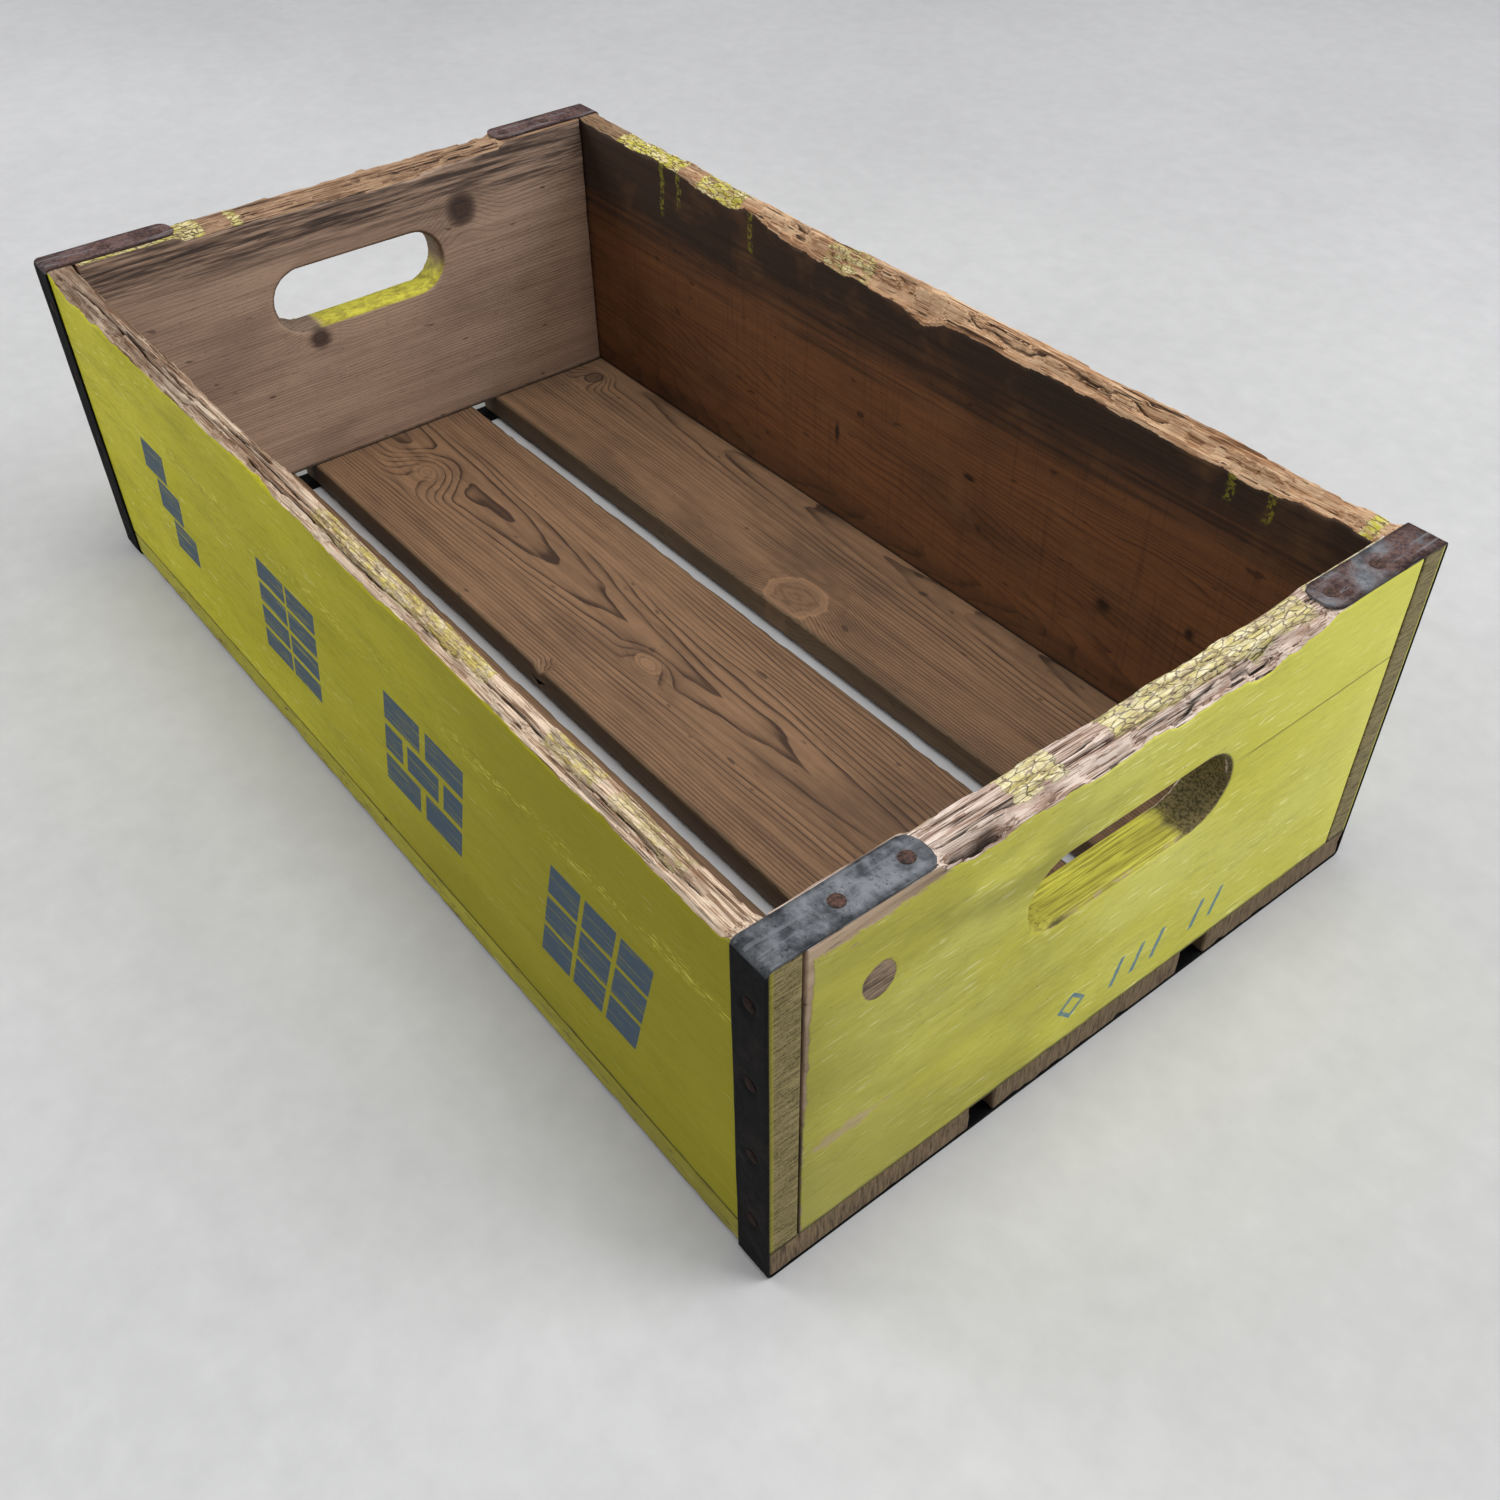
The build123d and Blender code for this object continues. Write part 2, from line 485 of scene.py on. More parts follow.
class Shader:
    """One material's nodes, with its surface coordinates in millimetres."""

    def __init__(self, name: str) -> None:
        """Starts a material of one Principled surface.

        Args:
            name: the material's name.
        """
        self.material = bpy.data.materials.new(name)
        self.material.use_nodes = True
        self.tree = self.material.node_tree
        self.tree.nodes.clear()
        self.surface = self.tree.nodes.new("ShaderNodeBsdfPrincipled")
        output = self.tree.nodes.new("ShaderNodeOutputMaterial")
        self.tree.links.new(self.surface.outputs["BSDF"], output.inputs["Surface"])
        spot = self.add("ShaderNodeTexCoord", {}, {}, "Object")
        self.spot = self.vector("MULTIPLY", spot, (1 / MM, 1 / MM, 1 / MM))
        split = self.node("ShaderNodeSeparateXYZ", {}, {0: self.spot})
        self.x, self.y, self.z = (Value(self, split.outputs[i]) for i in range(3))

    def place(self, axis: Axis) -> Value:
        """The surface coordinate on one axis."""
        return (self.x, self.y, self.z)[axis.value]

    def node(self, kind: str, settings: dict, inputs: dict) -> bpy.types.Node:
        """Adds a node of any type.

        Args:
            kind: the node's type.
            settings: the node's own properties, set first. A list under "stops" fills its colour ramp.
            inputs: values, colours or links, by socket name or number.

        Returns:
            The node.
        """
        node = self.tree.nodes.new(kind)
        for name, setting in settings.items():
            if name == "stops":
                elements = node.color_ramp.elements
                while len(elements) < len(setting):
                    elements.new(0.5)
                for element, (place, colour) in zip(elements, setting):
                    element.position = place
                    element.color = colour
            else:
                setattr(node, name, setting)
        for name, term in inputs.items():
            socket = node.inputs[name]
            if isinstance(term, Value):
                term = term.socket
            if isinstance(term, Socket):
                self.tree.links.new(term, socket)
            else:
                socket.default_value = term
        return node

    def add(self, kind: str, settings: dict, inputs: dict, output: str | int = 0) -> Socket:
        """Adds a node and gives one of its outputs."""
        return self.node(kind, settings, inputs).outputs[output]

    def vector(self, operation: str, *terms: object) -> Socket:
        """Adds one Vector Math node."""
        return self.add("ShaderNodeVectorMath", {"operation": operation}, dict(enumerate(terms)))

    def stretched(self, size_mm: Sequence[float]) -> Socket:
        """Surface coordinates divided by a feature's size on each axis."""
        return self.vector("DIVIDE", self.spot, tuple(size_mm))

    def noise(self, size_mm: Sequence[float], detail: float = 2.0, rough: float = 0.5,
              distort: float = 0.0, shift: float = 0.0) -> Value:
        """Noise from about 0 to 1 with features of a given size.

        Args:
            size_mm: size of the largest features on each axis.
            detail: how many finer layers are added.
            rough: how strong the finer layers are.
            distort: how far the pattern is pulled about.
            shift: moves the pattern, so that two noises of one size differ.

        Returns:
            The noise.
        """
        place = self.vector("ADD", self.stretched(size_mm), (shift, shift * 0.7, shift * 1.3))
        inputs = {"Vector": place, "Scale": 1.0, "Detail": detail, "Roughness": rough, "Distortion": distort}
        return Value(self, self.add("ShaderNodeTexNoise", {}, inputs))

    def cracks(self, size_mm: Sequence[float], wander: float) -> Value:
        """Distance from the nearest line of a crackle pattern, 0 on the line.

        Args:
            size_mm: size of the flakes between the cracks on each axis.
            wander: how far noise pulls the lines about, in flakes.

        Returns:
            The distance, in flakes.
        """
        place = self.stretched(size_mm)
        pull = self.add("ShaderNodeTexNoise", {}, {"Vector": place, "Scale": 1.7, "Detail": 2.0}, "Color")
        pull = self.vector("MULTIPLY", self.vector("SUBTRACT", pull, (0.5, 0.5, 0.5)), (wander,) * 3)
        place = self.vector("ADD", place, pull)
        inputs = {"Vector": place, "Scale": 1.0}
        return Value(self, self.add("ShaderNodeTexVoronoi", {"feature": "DISTANCE_TO_EDGE"}, inputs))

    def oval(self, centre_mm: Sequence[float], radii_mm: Sequence[float]) -> Value:
        """Measures distance from a centre in shares of an oval's radii.

        Args:
            centre_mm: the oval's centre.
            radii_mm: its radii. A radius of 0 leaves its axis out.

        Returns:
            The distance, 1 on the oval itself.
        """
        gap = self.vector("SUBTRACT", self.spot, tuple(centre_mm))
        shares = tuple(1 / r if r else 0.0 for r in radii_mm)
        scaled = self.vector("MULTIPLY", gap, shares)
        return Value(self, self.add("ShaderNodeVectorMath", {"operation": "LENGTH"}, {0: scaled}, "Value"))

    def stored(self, name: str) -> Value:
        """A number that the piece keeps for each vertex."""
        settings = {"attribute_name": name, "attribute_type": "GEOMETRY"}
        return Value(self, self.add("ShaderNodeAttribute", settings, {}, "Fac"))

    def mix(self, factor: Number, first: object, second: object) -> Socket:
        """Lays a second colour over a first: none of it where the factor is 0, and all of it at 1."""
        settings = {"data_type": "RGBA", "blend_type": "MIX", "clamp_factor": True}
        return self.add("ShaderNodeMix", settings, {0: factor, 6: first, 7: second}, 2)

    def ramp(self, factor: Value, stops: Sequence[tuple[float, Colour]]) -> Socket:
        """Turns a value into a colour through a ramp of stops."""
        return self.add("ShaderNodeValToRGB", {"stops": list(stops)}, {"Fac": factor})

    def dress(self, colour: object, roughness: Number, height: Value, depth_mm: float,
              strength: float = 1.0, metallic: Number = 0.0, specular: float = 0.5) -> None:
        """Connects the finished layers to the surface.

        Args:
            colour: base colour.
            roughness: roughness.
            height: relief, where 1 is depth_mm higher than 0.
            depth_mm: the relief's depth.
            strength: how strongly the relief shades.
            metallic: metallic share.
            specular: strength of the surface's reflection.
        """
        relief = {"Height": height, "Distance": depth_mm * MM, "Strength": strength}
        normal = self.add("ShaderNodeBump", {}, relief)
        wanted = {"Base Color": colour, "Roughness": roughness, "Metallic": metallic, "Normal": normal}
        for name, term in wanted.items():
            term = term.socket if isinstance(term, Value) else term
            if isinstance(term, Socket):
                self.tree.links.new(term, self.surface.inputs[name])
            else:
                self.surface.inputs[name].default_value = term
        self.surface.inputs["Specular IOR Level"].default_value = specular


# ---------------------------------------------------------------- finishes


@dataclass(frozen=True)
class Knot:
    """A knot in a board: where it is along and across the face, its radii and how it looks."""

    along_mm: float
    across_mm: float
    long_mm: float
    wide_mm: float
    dark: float = 0.8
    loose: float = 0.25
    pale_ring: float = 0.0


@dataclass(frozen=True)
class Timber:
    """Bare softwood as sawn: its colours, growth rings and knots."""

    grain: Axis
    across: Axis
    depth: Axis
    early: Colour
    late: Colour
    stain: Colour
    heart_across_mm: float
    heart_depth_mm: float
    slope: float
    ring_mm: float
    wander_mm: float
    line: float
    stained: float
    shift: float
    knots: tuple[Knot, ...] = ()

    def _triple(self, grain: float, across: float, depth: float) -> Triple:
        """Puts a board's own sizes in the order X, Y, Z.

        Args:
            grain: size along the grain.
            across: size across the face.
            depth: size through the board.

        Returns:
            The sizes on X, Y and Z.
        """
        sizes = [0.0, 0.0, 0.0]
        sizes[self.grain.value] = grain
        sizes[self.across.value] = across
        sizes[self.depth.value] = depth
        return (sizes[0], sizes[1], sizes[2])

    def grown(self, shader: Shader) -> tuple[Socket, Value]:
        """Adds the timber's nodes.

        Args:
            shader: the material that they go in.

        Returns:
            The bare wood's colour, and its relief from 0 to 1.
        """
        run, across, depth = (shader.place(axis) for axis in (self.grain, self.across, self.depth))
        sway = shader.noise(self._triple(190, 34, 34), 2.0, 0.45, shift=self.shift) - 0.5
        ripple = shader.noise(self._triple(60, 9, 9), 2.0, 0.5, shift=self.shift + 3) - 0.5
        side = across - self.heart_across_mm + sway * (self.wander_mm * 2)
        deep = depth - self.heart_depth_mm + run * self.slope
        radius = (side * side + deep * deep).root()
        radius = radius + sway * self.wander_mm + ripple * (self.wander_mm * 0.22)
        discs = []
        for knot in self.knots:
            centre = self._triple(knot.along_mm, knot.across_mm, 0.0)
            disc = shader.oval(centre, self._triple(knot.long_mm, knot.wide_mm, 0.0))
            disc = disc + ripple * (0.5 - knot.loose * 0.3)
            discs.append((disc, knot))
            wrap = shader.oval(centre, self._triple(knot.long_mm * 2.6, knot.wide_mm * 2.2, 0.0))
            radius = radius + wrap.rise(1.3, 0.0) * (knot.wide_mm * 0.8)
        turn = (radius / self.ring_mm).part()
        broad_late = turn.rise(0.35, 0.97) * turn.rise(1.0, 0.97)
        late = broad_late * 0.4 + turn.rise(0.68, 0.92) * turn.rise(1.0, 0.95) * 0.6
        clear = shader.noise(self._triple(160, 15, 15), 2.0, 0.5, shift=self.shift + 15).rise(0.3, 0.62)
        late = late * (0.3 + clear * 0.7)
        fibre = shader.noise(self._triple(45, 0.55, 0.55), 3.0, 0.6, shift=self.shift)
        coarse = shader.noise(self._triple(130, 4.5, 4.5), 3.0, 0.55, shift=self.shift + 7)
        cloud = shader.noise(self._triple(85, 38, 38), 3.0, 0.6, shift=self.shift + 11)
        tone = late * self.line + fibre.rise(0.35, 0.7) * 0.26 + coarse.rise(0.35, 0.7) * 0.3 - 0.06
        colour = shader.mix(tone, self.early, self.late)
        colour = shader.mix(cloud.rise(0.42, 0.78) * self.stained, colour, self.stain)
        pores = shader.noise(self._triple(9, 0.4, 0.4), 1.0, 0.5, shift=self.shift + 5).rise(0.66, 0.74)
        colour = shader.mix(pores * 0.45, colour, self.stain)
        marks = shader.noise(self._triple(13, 5, 5), 1.0, 0.4, shift=self.shift + 23).rise(0.73, 0.79)
        colour = shader.mix(marks * 0.6, colour, dimmed(self.stain, 0.4))
        height = fibre * 0.5 - late * 0.16 + coarse * 0.15 - pores * 0.4
        for disc, knot in discs:
            inside = disc.rise(1.3, 0.8 - 0.5 * (1 - knot.loose))
            swirl = (disc * 2.6 + ripple * 3.0 + fibre).part().rise(0.3, 0.95)
            rings = 1.0 - knot.dark
            heart_tone = swirl * (0.15 + 0.2 * rings) + knot.dark * 0.85 - 0.1
            heart = shader.mix(heart_tone, dimmed(self.early, 1.15), self.stain)
            colour = shader.mix(inside * 0.85, colour, heart)
            eyes = (disc * 1.7 + ripple * 3.0).part().rise(0.6, 0.95) * disc.band(0.6, 1.9, 0.5)
            colour = shader.mix(eyes * (0.06 + 0.22 * rings), colour, self.stain)
            halo = (disc + (coarse - 0.5) * 0.5).band(0.92, 1.12, 0.1)
            colour = shader.mix(halo * knot.pale_ring, colour, dimmed(self.early, 1.45))
            rim = disc.band(0.93, 1.03, 0.10) * knot.loose
            colour = shader.mix(rim * 0.8, colour, dimmed(self.stain, 0.45))
            height = height - rim * 0.5
        return colour, height


@dataclass(frozen=True)
class Fibres:
    """Rotted, weathered wood where a rim is worn bare."""

    pale: Colour
    middle: Colour
    dark: Colour
    gappy: float = 1.0

    def laid(self, shader: Shader, grain: Axis, shift: float) -> tuple[Socket, Value]:
        """Adds the fibres' nodes.

        Args:
            shader: the material that they go in.
            grain: the axis that the fibres follow.
            shift: moves the pattern.

        Returns:
            The fibres' colour, and their relief from 0 to 1.
        """
        size = partial(grained, grain)
        strands = shader.noise(size(38, 0.62), 4.0, 0.7, 0.15, shift)
        bundles = shader.noise(size(80, 3.0), 3.0, 0.6, 0.4, shift + 9)
        blotches = shader.noise(size(26, 9), 3.0, 0.6, 0.0, shift + 4)
        tone = strands * 0.6 + bundles * 0.4
        stops = [(0.38, self.dark), (0.455, self.middle), (0.53, self.pale), (0.72, self.pale)]
        colour = shader.ramp(tone, stops)
        colour = shader.mix(blotches.rise(0.45, 0.7) * 0.55, colour, self.middle)
        gaps = shader.noise(size(52, 1.5), 2.0, 0.5, 0.25, shift + 21).rise(0.4, 0.32)
        breaks = shader.noise(size(30, 6), 2.0, 0.5, 0.0, shift + 31).rise(0.36, 0.48)
        gaps = gaps * breaks * self.gappy
        colour = shader.mix(gaps * 0.9, colour, dimmed(self.dark, 0.3))
        return colour, tone - gaps * 0.8


@dataclass(frozen=True)
class CratePaint:
    """Thin yellow-green crate paint, dirtied and scratched along the grain."""

    fresh: Colour = chart(205, 201, 70)
    faded: Colour = chart(214, 211, 102)
    grimy: Colour = chart(116, 108, 46)
    scratch: Colour = chart(234, 231, 138)
    scratched: float = 0.5

    def brushed(self, shader: Shader, grain: Axis, shift: float, grime: float) -> tuple[Socket, Value]:
        """Adds the paint's nodes.

        Args:
            shader: the material that they go in.
            grain: the axis that the board's grain follows.
            shift: moves the pattern.
            grime: how dirty the paint is, from 0 to 1.

        Returns:
            The paint's colour, and its relief from 0 to 1.
        """
        size = partial(grained, grain)
        broad = shader.noise(size(95, 55), 4.0, 0.55, 0.0, shift)
        smears = shader.noise(size(48, 16), 5.0, 0.62, 0.3, shift + 2)
        speckle = shader.noise(size(5, 2.2), 3.0, 0.7, 0.0, shift + 6)
        streaks = shader.noise(size(60, 2.4), 3.0, 0.6, 0.2, shift + 13)
        colour = shader.mix(broad.rise(0.35, 0.68), self.fresh, self.faded)
        dirt = (smears * 0.5 + speckle * 0.25 + streaks * 0.32).rise(0.48, 0.78) * (0.2 + grime * 0.5)
        colour = shader.mix(dirt, colour, self.grimy)
        hairs = shader.noise(size(10, 0.95), 4.0, 0.75, 0.3, shift + 25)
        colour = shader.mix(hairs.rise(0.52, 0.72) * (0.15 + grime * 0.5), colour, self.grimy)
        colour = shader.mix(hairs.rise(0.47, 0.3) * 0.2, colour, self.scratch)
        lines = shader.noise(size(15, 1.3), 2.0, 0.6, 0.0, shift + 17).rise(0.6, 0.65)
        rare = 0.64 - 0.24 * self.scratched
        bursts = shader.noise(size(34, 10), 2.0, 0.6, 0.0, shift + 19).rise(rare, rare + 0.1)
        colour = shader.mix(lines * bursts * 0.95, colour, self.scratch)
        specks = shader.noise((1.3, 1.3, 1.3), 2.0, 0.6, 0.0, shift + 29).rise(0.69, 0.75)
        colour = shader.mix(specks * 0.55, colour, self.grimy)
        nicks = shader.noise(size(2.6, 1.5), 1.0, 0.5, 0.0, shift + 37).rise(0.79, 0.83)
        colour = shader.mix(nicks * 0.85, colour, dimmed(self.grimy, 0.35))
        height = streaks * 0.3 + hairs * 0.3 + speckle * 0.2 + 0.2 - lines * bursts * 0.5
        return colour, height


class Mark(Enum):
    """The plain shapes that are stencilled on the front side, none of them a letter."""

    BARS = "bars"
    BRICKS = "bricks"
    STEPS = "steps"
    GRID = "grid"


@dataclass(frozen=True)
class Stencils:
    """Slate-blue marks made of slanted blocks, in a row along the front side."""

    ink: Colour = chart(60, 82, 106)
    centres_mm: tuple[float, ...] = (-177.0, -49.0, 72.0, 195.0)
    middle_z_mm: float = 85.0
    half_wide_mm: float = 31.0
    half_tall_mm: float = 30.0
    slant: float = 0.28
    bridge_mm: float = 1.5
    marks: tuple[Mark, ...] = (Mark.STEPS, Mark.BARS, Mark.BRICKS, Mark.GRID)

    def sprayed(self, shader: Shader) -> Value:
        """Adds the stencils' nodes.

        Args:
            shader: the material that they go in.

        Returns:
            The mask of the sprayed ink.
        """
        blur = shader.noise((2.0, 2.0, 2.0), 2.0, 0.6, 0.0, 41.0) - 0.5
        up = shader.z - self.middle_z_mm + blur * 0.5
        total = None
        for centre, mark in zip(self.centres_mm, self.marks):
            right = shader.x - centre - up * self.slant + blur * 0.5
            ink = self._shape(mark, right, up)
            total = ink if total is None else total + ink
        worn = shader.noise((30, 3, 1.2), 3.0, 0.65, 0.0, 43.0).rise(0.36, 0.44)
        grain = shader.noise((0.9, 0.9, 0.9), 2.0, 0.7, 0.0, 47.0).rise(0.25, 0.42)
        return total * (0.55 + worn * 0.45) * (0.7 + grain * 0.3)

    def _box(self, right: Value, up: Value, low: tuple[float, float], high: tuple[float, float]) -> Value:
        """Masks a slanted block.

        Args:
            right: distance to the right of the mark's slanted centre line.
            up: distance above its middle.
            low: the block's lower left corner, in shares of the mark's half size.
            high: its upper right corner.

        Returns:
            The mask.
        """
        wide = right.band(low[0] * self.half_wide_mm, high[0] * self.half_wide_mm, 0.5)
        tall = up.band(low[1] * self.half_tall_mm, high[1] * self.half_tall_mm, 0.5)
        return wide * tall

    def _shape(self, mark: Mark, right: Value, up: Value) -> Value:
        """The mask of one mark, made of slanted blocks.

        Args:
            mark: which shape it is.
            right: distance to the right of the mark's slanted centre line.
            up: distance above its middle.

        Returns:
            The mask.
        """
        blocks = {
            Mark.STEPS: [(-1, 0.38, -0.15, 1), (-0.58, -0.31, 0.27, 0.31), (-0.15, -1, 0.7, -0.38)],
            Mark.BARS: [(-0.9, low, 0.9, low + 0.42) for low in (-1, -0.47, 0.06, 0.58)],
            Mark.BRICKS: [(x, z, x + 0.92, z + 0.58) for x in (-1, 0.08) for z in (-1, 0.42)]
            + [(-1, -0.28, -0.54, 0.28), (-0.4, -0.28, 0.4, 0.28), (0.54, -0.28, 1, 0.28)],
            Mark.GRID: [(x, z, x + 0.6, z + 0.6) for x in (-1, -0.3, 0.4) for z in (-1, -0.3, 0.4)],
        }
        total = None
        for left, bottom, reach, top in blocks[mark]:
            block = self._box(right, up, (left, bottom), (reach, top))
            total = block if total is None else total.most(block)
        if mark is Mark.BARS:
            total = total * abs(right).rise(self.bridge_mm * 0.4, self.bridge_mm * 0.8)
        return total


@dataclass(frozen=True)
class Tally:
    """Small blue strokes and a lozenge, brushed low on the right end."""

    ink: Colour = chart(86, 126, 146)
    strokes_mm: tuple[float, ...] = (10.0, 22.0, 34.0, 58.0, 70.0)
    middle_z_mm: float = 37.0
    half_tall_mm: float = 7.5
    half_wide_mm: float = 1.15
    slant: float = 0.3
    lozenge_mm: float = -16.0
    lozenge_half_mm: float = 6.5

    def brushed(self, shader: Shader) -> Value:
        """Adds the tally's nodes.

        Args:
            shader: the material that they go in.

        Returns:
            The mask of the brushed ink.
        """
        wobble = shader.noise((3, 3, 3), 2.0, 0.6, 0.0, 51.0) - 0.5
        up = shader.z - self.middle_z_mm
        lean = up * self.slant + wobble * 1.2
        tall = abs(up).rise(self.half_tall_mm + 0.6, self.half_tall_mm - 0.4)
        total = None
        for place in self.strokes_mm:
            stroke = abs(shader.y - place - lean).rise(self.half_wide_mm + 0.5, self.half_wide_mm - 0.2)
            total = stroke if total is None else total + stroke
        ring = abs(shader.y - self.lozenge_mm) + abs(up + wobble)
        lozenge = abs(ring - self.lozenge_half_mm).rise(1.8, 1.0)
        thin = shader.noise((4, 4, 4), 3.0, 0.7, 0.0, 53.0).rise(0.3, 0.5)
        return (total * tall + lozenge).least(1.0) * (0.5 + thin * 0.42)


# ---------------------------------------------------------------- boards


@dataclass(frozen=True)
class Split:
    """A long crack in a rim, along the grain."""

    across_mm: float
    start_mm: float
    stop_mm: float
    width_mm: float
    depth_mm: float


@dataclass(frozen=True)
class RimWear:
    """How a board's rim has worn: profiles run along the grain and give drops below the new rim."""

    outer_drop_mm: Profile
    inner_drop_mm: Profile
    outer_ledge_mm: float
    inner_ledge_mm: float
    outer_round_mm: float
    inner_round_mm: float
    outer_torn_mm: float
    inner_torn_mm: float
    kept_paint: tuple[Triple, ...]
    splits: tuple[Split, ...] = ()
    roughness: float = 1.0
    kept_inward_mm: float = 1.0
    kept_colour: Colour = chart(204, 192, 112)
    kept_pale: Colour = chart(228, 216, 162)
    kept_cell_mm: tuple[float, float] = (7.0, 2.2)
    kept_cracks: float = 0.85
    kept_worn: float = 0.3
    seed: int = 1


@dataclass
class Board:
    """One wide board on edge. Its outer face is painted and its rim is worn."""

    name: str
    node: str
    grain: Axis
    outward: int
    wear: RimWear
    timber: Timber
    fibres: Fibres
    paint: CratePaint
    grime: float
    gloss: float = 0.3
    slot: str = "painted_wood"
    rim_zone_mm: float = 26.0
    eased_mm: float = 0.9
    long_parts: int = 40
    fine_parts: int = 15
    thick_parts: int = 20
    low_parts: int = 16
    low_mm: np.ndarray = field(init=False)
    high_mm: np.ndarray = field(init=False)

    def __post_init__(self) -> None:
        """Reads the board's place from the frame."""
        self.low_mm, self.high_mm = packed_box(self.node)

    @property
    def through(self) -> Axis:
        """The axis through the board's thickness."""
        return Axis.Y if self.grain is Axis.X else Axis.X

    @property
    def outer_mm(self) -> float:
        """Where the painted face is, on the axis through the board."""
        return float((self.high_mm if self.outward > 0 else self.low_mm)[self.through.value])

    @property
    def thick_mm(self) -> float:
        """The board's thickness."""
        return float((self.high_mm - self.low_mm)[self.through.value])

    def build(self) -> Piece:
        """Saws, wears and dresses the board.

        Returns:
            The finished board.
        """
        piece = self.saw()
        self.wear_down(piece)
        self.cut_openings(piece)
        shade(piece, 55)
        hand_over(piece, self.node, self.finish())
        return piece

    def saw(self) -> Piece:
        """Saws the block and lays the lines that the wear needs, closest together near the rim.

        Returns:
            The sawn board.
        """
        low, high = self.low_mm, self.high_mm
        piece = stock(self.name, low, high)
        zone = high[2] - self.rim_zone_mm
        ease(piece, along(Axis.Z), self.eased_mm, 2)
        score(piece, Axis.Z, [zone])
        divide(piece, along(Axis.Z, zone, high[2]), round(self.rim_zone_mm))
        divide(piece, along(Axis.Z, low[2], zone), self.low_parts)
        divide(piece, along(self.through), self.thick_parts)
        divide(piece, along(self.grain), self.long_parts)
        divide(piece, along(self.grain, above=zone), self.fine_parts)
        return piece

    def cut_openings(self, piece: Piece) -> None:
        """Cuts nothing: a plain board has no opening."""

    def cover(self, run: np.ndarray) -> np.ndarray:
        """How much of the wear reaches each place along the rim: less under the strap."""
        half = (self.high_mm - self.low_mm)[self.grain.value] / 2
        return np.clip((half - np.abs(run) - STRAP_WIDE_MM) / 5, 0.12, 1.0)

    def wear_down(self, piece: Piece) -> None:
        """Moves the rim zone's vertices to its worn shape and stores where wood is bare.

        Args:
            piece: the sawn board.
        """
        wear = self.wear
        uneven = Unevenness(wear.seed)
        points = points_of(piece)
        run = points[:, self.grain.value]
        middle = (self.low_mm + self.high_mm)[self.through.value] / 2
        half = self.thick_mm / 2
        across = (points[:, self.through.value] - middle) * self.outward
        depth = self.high_mm[2] - points[:, 2]
        cover = self.cover(run)
        rounded = np.where(across > 0, wear.outer_round_mm, wear.inner_round_mm)
        rounded = rounded * (1 + 0.35 * uneven.layered(run / 19, np.sign(across) * 5)) * (0.4 + 0.6 * cover)
        over = np.abs(across) - (half - rounded)
        under = rounded - depth
        corner = (over > 0) & (under > 0)
        length = np.hypot(over, under) + 1e-9
        reach = np.maximum(over, under)
        across = np.where(corner, np.sign(across) * (half - rounded + over * reach / length), across)
        depth = np.where(corner, rounded - under * reach / length, depth)
        drop, pits = self.drop(uneven, run, across, half, cover)
        share = np.clip(1 - depth / self.rim_zone_mm, 0, 1)
        sunk = depth + drop * share
        outer = across > 0
        torn = np.where(outer, wear.outer_torn_mm, wear.inner_torn_mm)
        ragged = 0.65 + 0.5 * uneven.layered(run / 42, np.sign(across) * 9)
        ragged = ragged + 0.16 * uneven.at(run / 3.3, 40.0)
        torn = torn * np.clip(ragged, 0.05, 2) * (0.3 + 0.7 * cover) + drop * 0.12
        bare = smooth(1.15 - depth / (torn + 0.15))
        near_face = smooth((np.abs(across) - (half - 1.6)) / 1.6)
        nibble = (0.35 + 0.5 * np.abs(uneven.layered(run / 5, depth / 3))) * bare * near_face
        across = across - np.sign(across) * nibble * np.clip(depth / 1.5, 0, 1)
        points[:, self.through.value] = middle + across * self.outward
        points[:, 2] = self.high_mm[2] - sunk
        self.shrink_ends(points, uneven)
        set_points(piece, points)
        kept = np.zeros(len(run))
        for start, stop, share_kept in wear.kept_paint:
            window = smooth((run - start) / 6) * smooth((stop - run) / 6) * share_kept
            kept = np.maximum(kept, window)
        store(piece, "bare", bare)
        store(piece, "kept", kept)
        store(piece, "pits", pits * bare)

    def drop(self, uneven: Unevenness, run: np.ndarray, across: np.ndarray, half: float,
             cover: np.ndarray) -> tuple[np.ndarray, np.ndarray]:
        """Works out how far the rim has worn down.

        Args:
            uneven: the noise that makes the wear ragged.
            run: places along the grain.
            across: places through the board, outward positive.
            half: half the board's thickness.
            cover: how much of the wear reaches each place.

        Returns:
            The drop below the new rim at each place, and how far each place is down a split.
        """
        wear = self.wear
        outer = np.interp(run, *zip(*wear.outer_drop_mm))
        inner = np.interp(run, *zip(*wear.inner_drop_mm))
        outer_ledge = wear.outer_ledge_mm * (1 + 0.4 * uneven.layered(run / 15, 2.0))
        inner_ledge = wear.inner_ledge_mm * (1 + 0.4 * uneven.layered(run / 13, 6.0))
        outer_step = smooth((outer_ledge - (half - across)) / (0.5 * outer_ledge))
        inner_step = smooth((inner_ledge - (half + across)) / (0.7 * inner_ledge))
        outer = outer * (1 + 0.28 * uneven.layered(run / 12, 11.0))
        inner = inner * (1 + 0.28 * uneven.layered(run / 20, 14.0))
        low = 0.5 + 0.45 * uneven.layered(run / 45, 21.0)
        drop = low + outer * outer_step + inner * inner_step
        plies = np.round((drop + 1.0 * uneven.layered(run / 34, across / 1.5)) / 1.3) * 1.3
        strands = 0.55 * uneven.layered(run / 30, across / 0.9) + 0.16 * uneven.layered(run / 8, across / 0.7)
        drop = 0.5 * drop + 0.5 * plies + strands * wear.roughness
        pits = np.zeros(len(run))
        for index, split in enumerate(wear.splits):
            centre = split.across_mm + 1.0 * uneven.layered(run / 38, 50.0 + 7 * index)
